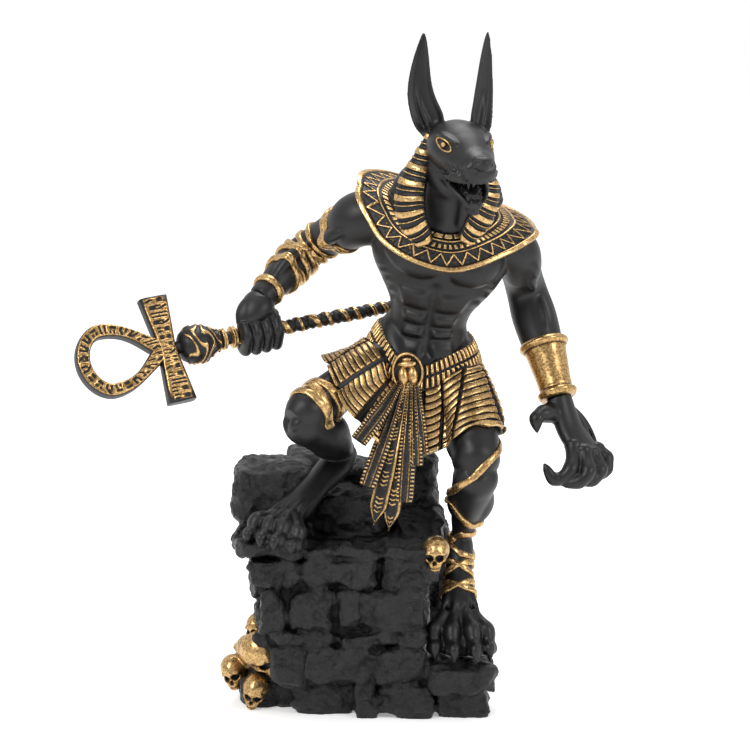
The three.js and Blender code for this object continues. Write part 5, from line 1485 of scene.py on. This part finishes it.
wallGrids = [
    block((-34, -36, 0), (27, 30, 22), 5, 0.2, 0, 0.3), block((-41, -42, 10), (27, 30, 73), 6, 0.2, 0, 0.3),
]
for order, (floorAt, top, joints, faces) in enumerate(frontCourses):
    for i, out in enumerate(faces):
        gap, tilt = wall["gap"], wall["tilt"] * cos(7 * i + 3 * order)
        low, high = (joints[i] + gap, out - 1 + tilt, floorAt + gap), (joints[i + 1] - gap, out + 14, top - gap)
        wallGrids.append(block(low, high, order * 11 + i, 0.3, 0.3, 1.9))
for order, (floorAt, top, left, right, back, joint) in enumerate(sideCourses):
    near, far = (-38 if floorAt else -30), back - 1
    middle = (left + right) / 2 + 8 * (order - 1)
    half, split = (floorAt + top) / 2, 4 + (far - 4) * 0.55
    for k, (low, high) in enumerate(((floorAt, half), (half, top))):
        # the joints of the upper half stand 6 mm along from those of the lower half
        shift, gap = 6 * (k - 0.5), wall["sideGap"]
        stones = (
            (left, near, left + 12, joint - gap + shift), (left + 1, joint + gap + shift, left + 12, far),
            (right - 12, 4, right, split + shift), (right - 12, split + 1 + shift, right - 0.5, far),
            (left + 5, back - 12, middle - gap + shift, back), (middle + gap + shift, back - 12, right - 3, back + gap),
        )
        for i, (x, y, toX, toY) in enumerate(stones):
            wallGrids.append(block((x, y, low + 0.3), (toX, toY, high - 0.3), order * 17 + 2 * i + k))
wallGrids += [block(low, high, 60 + i, 0.36, 0.4, 1.6) for i, (low, high) in enumerate(topStones)]
wallGrids += [block(low, high, 80 + i, 0.3, 0.2, 0.7) for i, (low, high) in enumerate(ledge)]
wallGrids.append(Limb([vec(-46, -12, 0), vec(-45, -12, 28)], [[0, 11, 18], [0.6, 10, 16], [1, 7, 9]]).skin(40, 40))

wallCast = clay("ruinedWall", wallGrids, wall["voxel"], passes=1)
places, normals = pointsOf(wallCast)
chip = noise(places, 4.2, 2) * 2.5
chip = (np.round(chip) * 0.7 + chip * 0.3) / 2.5  # stepped, as broken stone flakes off in layers
lumps = noise(places, 8, 1) * wall["lump"] + chip * wall["chip"] + noise(places, 1.9, 4) * wall["grit"]
inward = normals * (lumps - 0.35)[:, None]
places = places + inward * ease(places[:, 2:3] / 2.5)
places[:, 2] = np.where(places[:, 2] < 0.9, 0.0, places[:, 2])
movePoints(wallCast, places)
finishPiece(wallCast, stoneBlack, "ruined_wall_base")
print("wall done")

# Skulls: gold on the raised bone, black in the hollows

skullLook = {"voxel": 0.5, "socket": 0.5, "nose": 0.3, "bite": 0.06, "cheek": 0.12, "pits": 0.12}
# each skull: middle, half length, the way it looks and its crown
skulls = [
    (vec(-46.2, -31.5, 25), 8.2, vec(0.62, -0.75, -0.25), vec(-0.5, -0.1, 0.86)),
    (vec(-51.5, -17, 22), 8, vec(-0.6, 0.6, 0.2), vec(0, 0, 1)),
    (vec(-48.5, -22, 34.5), 5.4, vec(-0.5, -0.8, -0.1), vec(0, 0, 1)),
    (vec(-59, -21, 14.5), 6, vec(-0.25, -0.9, -0.25), vec(-0.3, 0, 1)),
    (vec(-49, -31, 8.5), 6, vec(-0.2, -0.85, -0.35), vec(0.2, -0.1, 1)),
    (vec(29.6, -44.5, 73.4), 6.0, vec(-0.12, -0.98, -0.1), vec(0, 0, 1)),
]


def skullAxes(facing, crown):
    # the skull's own directions as rows: ahead, aside and up, square to each other
    facing = unit(facing)
    aside = unit(np.cross(facing, crown))
    return np.array([facing, aside, np.cross(aside, facing)])


def skullGrids(middle, size, facing, crown):
    # brain case, bones of the face, brows, cheek bones and five upper teeth, all in shares of the skull's size
    axes = skullAxes(facing, crown)
    on = lambda ahead, side, high: middle + (np.array([ahead, side, high]) * size) @ axes
    sized = lambda sections: np.array(sections) * vec(1, size, size)
    brain = Limb(
        [on(-1.08, 0, 0.1), on(-0.2, 0, 0.12), on(0.98, 0, 0.0)],
        sized([[0, 0.1, 0.1], [0.3, 0.72, 0.74], [0.8, 0.96, 1.0], [1.4, 0.84, 0.9], [1.8, 0.5, 0.56], [2, 0.2, 0.2]]),
        axes[1],
    ).skin(40, 36)
    faceBones = Limb(
        [on(0.52, 0, 0.0), on(0.66, 0, -0.6), on(0.7, 0, -1.18)],
        sized([[0, 0.64, 0.4], [1, 0.5, 0.36], [1.6, 0.4, 0.34], [2, 0.34, 0.28]]), axes[1],
    ).skin(36, 36)
    parts = [brain, faceBones]
    for s in (-1, 1):
        brow = on(0.78, s * 0.1, 0.2), on(0.5, s * 0.78, 0.06)
        cheek = on(0.86, s * 0.22, -0.5), on(0.2, s * 0.82, -0.34)
        parts.append(muscle(*brow, 0.14 * size, 0.16 * size, axes[2], axes[0] * size * 0.1))
        parts.append(muscle(*cheek, 0.13 * size, 0.15 * size, axes[2], axes[0] * size * 0.08))
    for k in range(-2, 3):
        top, tip = on(1.02 - 0.03 * k * k, k * 0.13, -0.76), on(1.0 - 0.03 * k * k, k * 0.13, -1.06)
        parts.append(muscle(top, tip, 0.075 * size, 0.075 * size, axes[1]))
    return parts


bones = clay("skulls", [grid for skull in skulls for grid in skullGrids(*skull)], skullLook["voxel"], passes=2)
places, normals = pointsOf(bones)
gild = np.full(len(places), fullGild)
for middle, size, facing, crown in skulls:
    # hollows sink straight back into the face and lose their gold; ahead, side and high are shares of the size
    axes = skullAxes(facing, crown)
    ahead, side, high = ((places - middle) @ axes.T / size).T
    near = np.sqrt(ahead**2 + side**2 + high**2) < 1.7
    sockets = sum(np.exp(-(((side - s * 0.34) / 0.24) ** 2 + ((high + 0.2) / 0.22) ** 2) ** 2) for s in (-1, 1))
    sockets = sockets * (ahead > 0.3)
    nose = np.exp(-((side / 0.12) ** 2 + ((high + 0.54) / 0.16) ** 2) ** 2) * (ahead > 0.5)
    bite = bell(high, -0.9, 0.04) * (ahead > 0.6)
    cheek = bell(np.abs(side), 0.72, 0.16) * bell(high, -0.12, 0.2) * bell(ahead, 0.2, 0.4)
    hollows = {"socket": sockets, "nose": nose, "bite": bite, "cheek": cheek}
    depth = sum(skullLook[key] * hollow for key, hollow in hollows.items()) * size * near
    places -= axes[0] * depth[:, None]
    gild -= np.clip(1.6 * sockets + 1.6 * nose + 0.7 * bite + 0.5 * cheek, 0, 1) * near
places += normals * (skullLook["pits"] * noise(places, 1.2, 9))[:, None]
places[:, 2] = np.maximum(places[:, 2], 0)
movePoints(bones, places)
setGild(bones, gild)
finishPiece(bones, gilt, "ruined_wall_base")
print("skulls done")

# Floor, light and camera: the photograph's viewing angle

view = {"distance": 1400.0, "above": 10.0, "target": (3.5, 0, 143), "frameWidth": 330.0}
room = {"paper": "f4f4f4", "glow": 0.3, "dim": 0.55}
# each lamp: name, place and width in metres, watts
lamps = [
    ("keyLight", (-0.7, -0.9, 1.0), 0.5, 9), ("fillLight", (0.9, -0.7, 0.6), 0.4, 4),
    ("topLight", (0.1, 0.35, 1.1), 0.5, 6),
]


def paperFloor():
    # matt white card that glows a little, so that it stays white under the statue
    floor = bpy.data.meshes.new("floor")
    floor.from_pydata([(-3, -3, 0), (3, -3, 0), (3, 3, 0), (-3, 3, 0)], [], [(0, 1, 2, 3)])
    paper, tree, out = newMaterial("whitePaper")
    shader = node(tree, "BsdfPrincipled", {
        "Base Color": linear(room["paper"]), "Roughness": 0.9, "Emission Color": linear("ffffff"),
        "Emission Strength": room["glow"],
    })
    tree.links.new(shader.outputs[0], out.inputs[0])
    floor.materials.append(paper)
    place(floor, "floor", False)


def roomLight():
    # the room is white behind and above the statue and dimmer on the camera's side, so that its front has contrast;
    # the camera itself sees plain white from every side
    world = bpy.data.worlds.new("softWhite")
    bpy.context.scene.world = world
    world.use_nodes = True
    tree = world.node_tree
    way = node(tree, "SeparateXYZ", {}, {0: node(tree, "TexCoord").outputs["Generated"]})
    strength = node(tree, "MapRange", {1: -0.7, 2: 0.35, 3: room["dim"], 4: 1.0}, {0: way.outputs[1]})
    seen = node(tree, "Math", {"operation": "MAXIMUM"}, {
        0: strength.outputs[0], 1: node(tree, "LightPath").outputs["Is Camera Ray"],
    })
    tree.nodes["Background"].inputs[0].default_value = (1, 1, 1, 1)
    tree.links.new(seen.outputs[0], tree.nodes["Background"].inputs[1])
    for name, where, size, power in lamps:
        lamp = bpy.data.lights.new(name, "AREA")
        lamp.energy, lamp.size = power, size
        light = bpy.data.objects.new(name, lamp)
        light.location = where
        light.rotation_euler = (Vector((0, 0, 0.15)) - Vector(where)).to_track_quat("-Z", "Y").to_euler()
        bpy.context.scene.collection.objects.link(light)


def plainColours():
    # the picture's tones are shown as they are, as in a catalogue photograph
    bpy.context.scene.view_settings.view_transform = "Standard"
    bpy.context.scene.view_settings.look = "None"


def photoCamera():
    # the camera stands at target + distance x (0, -cos above, sin above) and looks at the target
    target = Vector(view["target"]) * metre
    back = Vector((0, -cos(radians(view["above"])), sin(radians(view["above"]))))
    lens = bpy.data.cameras.new("photoCamera")
    lens.sensor_width = 36
    lens.lens = 36 * view["distance"] / view["frameWidth"]
    camera = bpy.data.objects.new("photoCamera", lens)
    camera.location = target + back * view["distance"] * metre
    camera.rotation_euler = (-back).to_track_quat("-Z", "Y").to_euler()
    bpy.context.scene.collection.objects.link(camera)
    bpy.context.scene.camera = camera


paperFloor()
roomLight()
plainColours()
photoCamera()
print("floor, light and camera done")
bpy.context.view_layer.update()
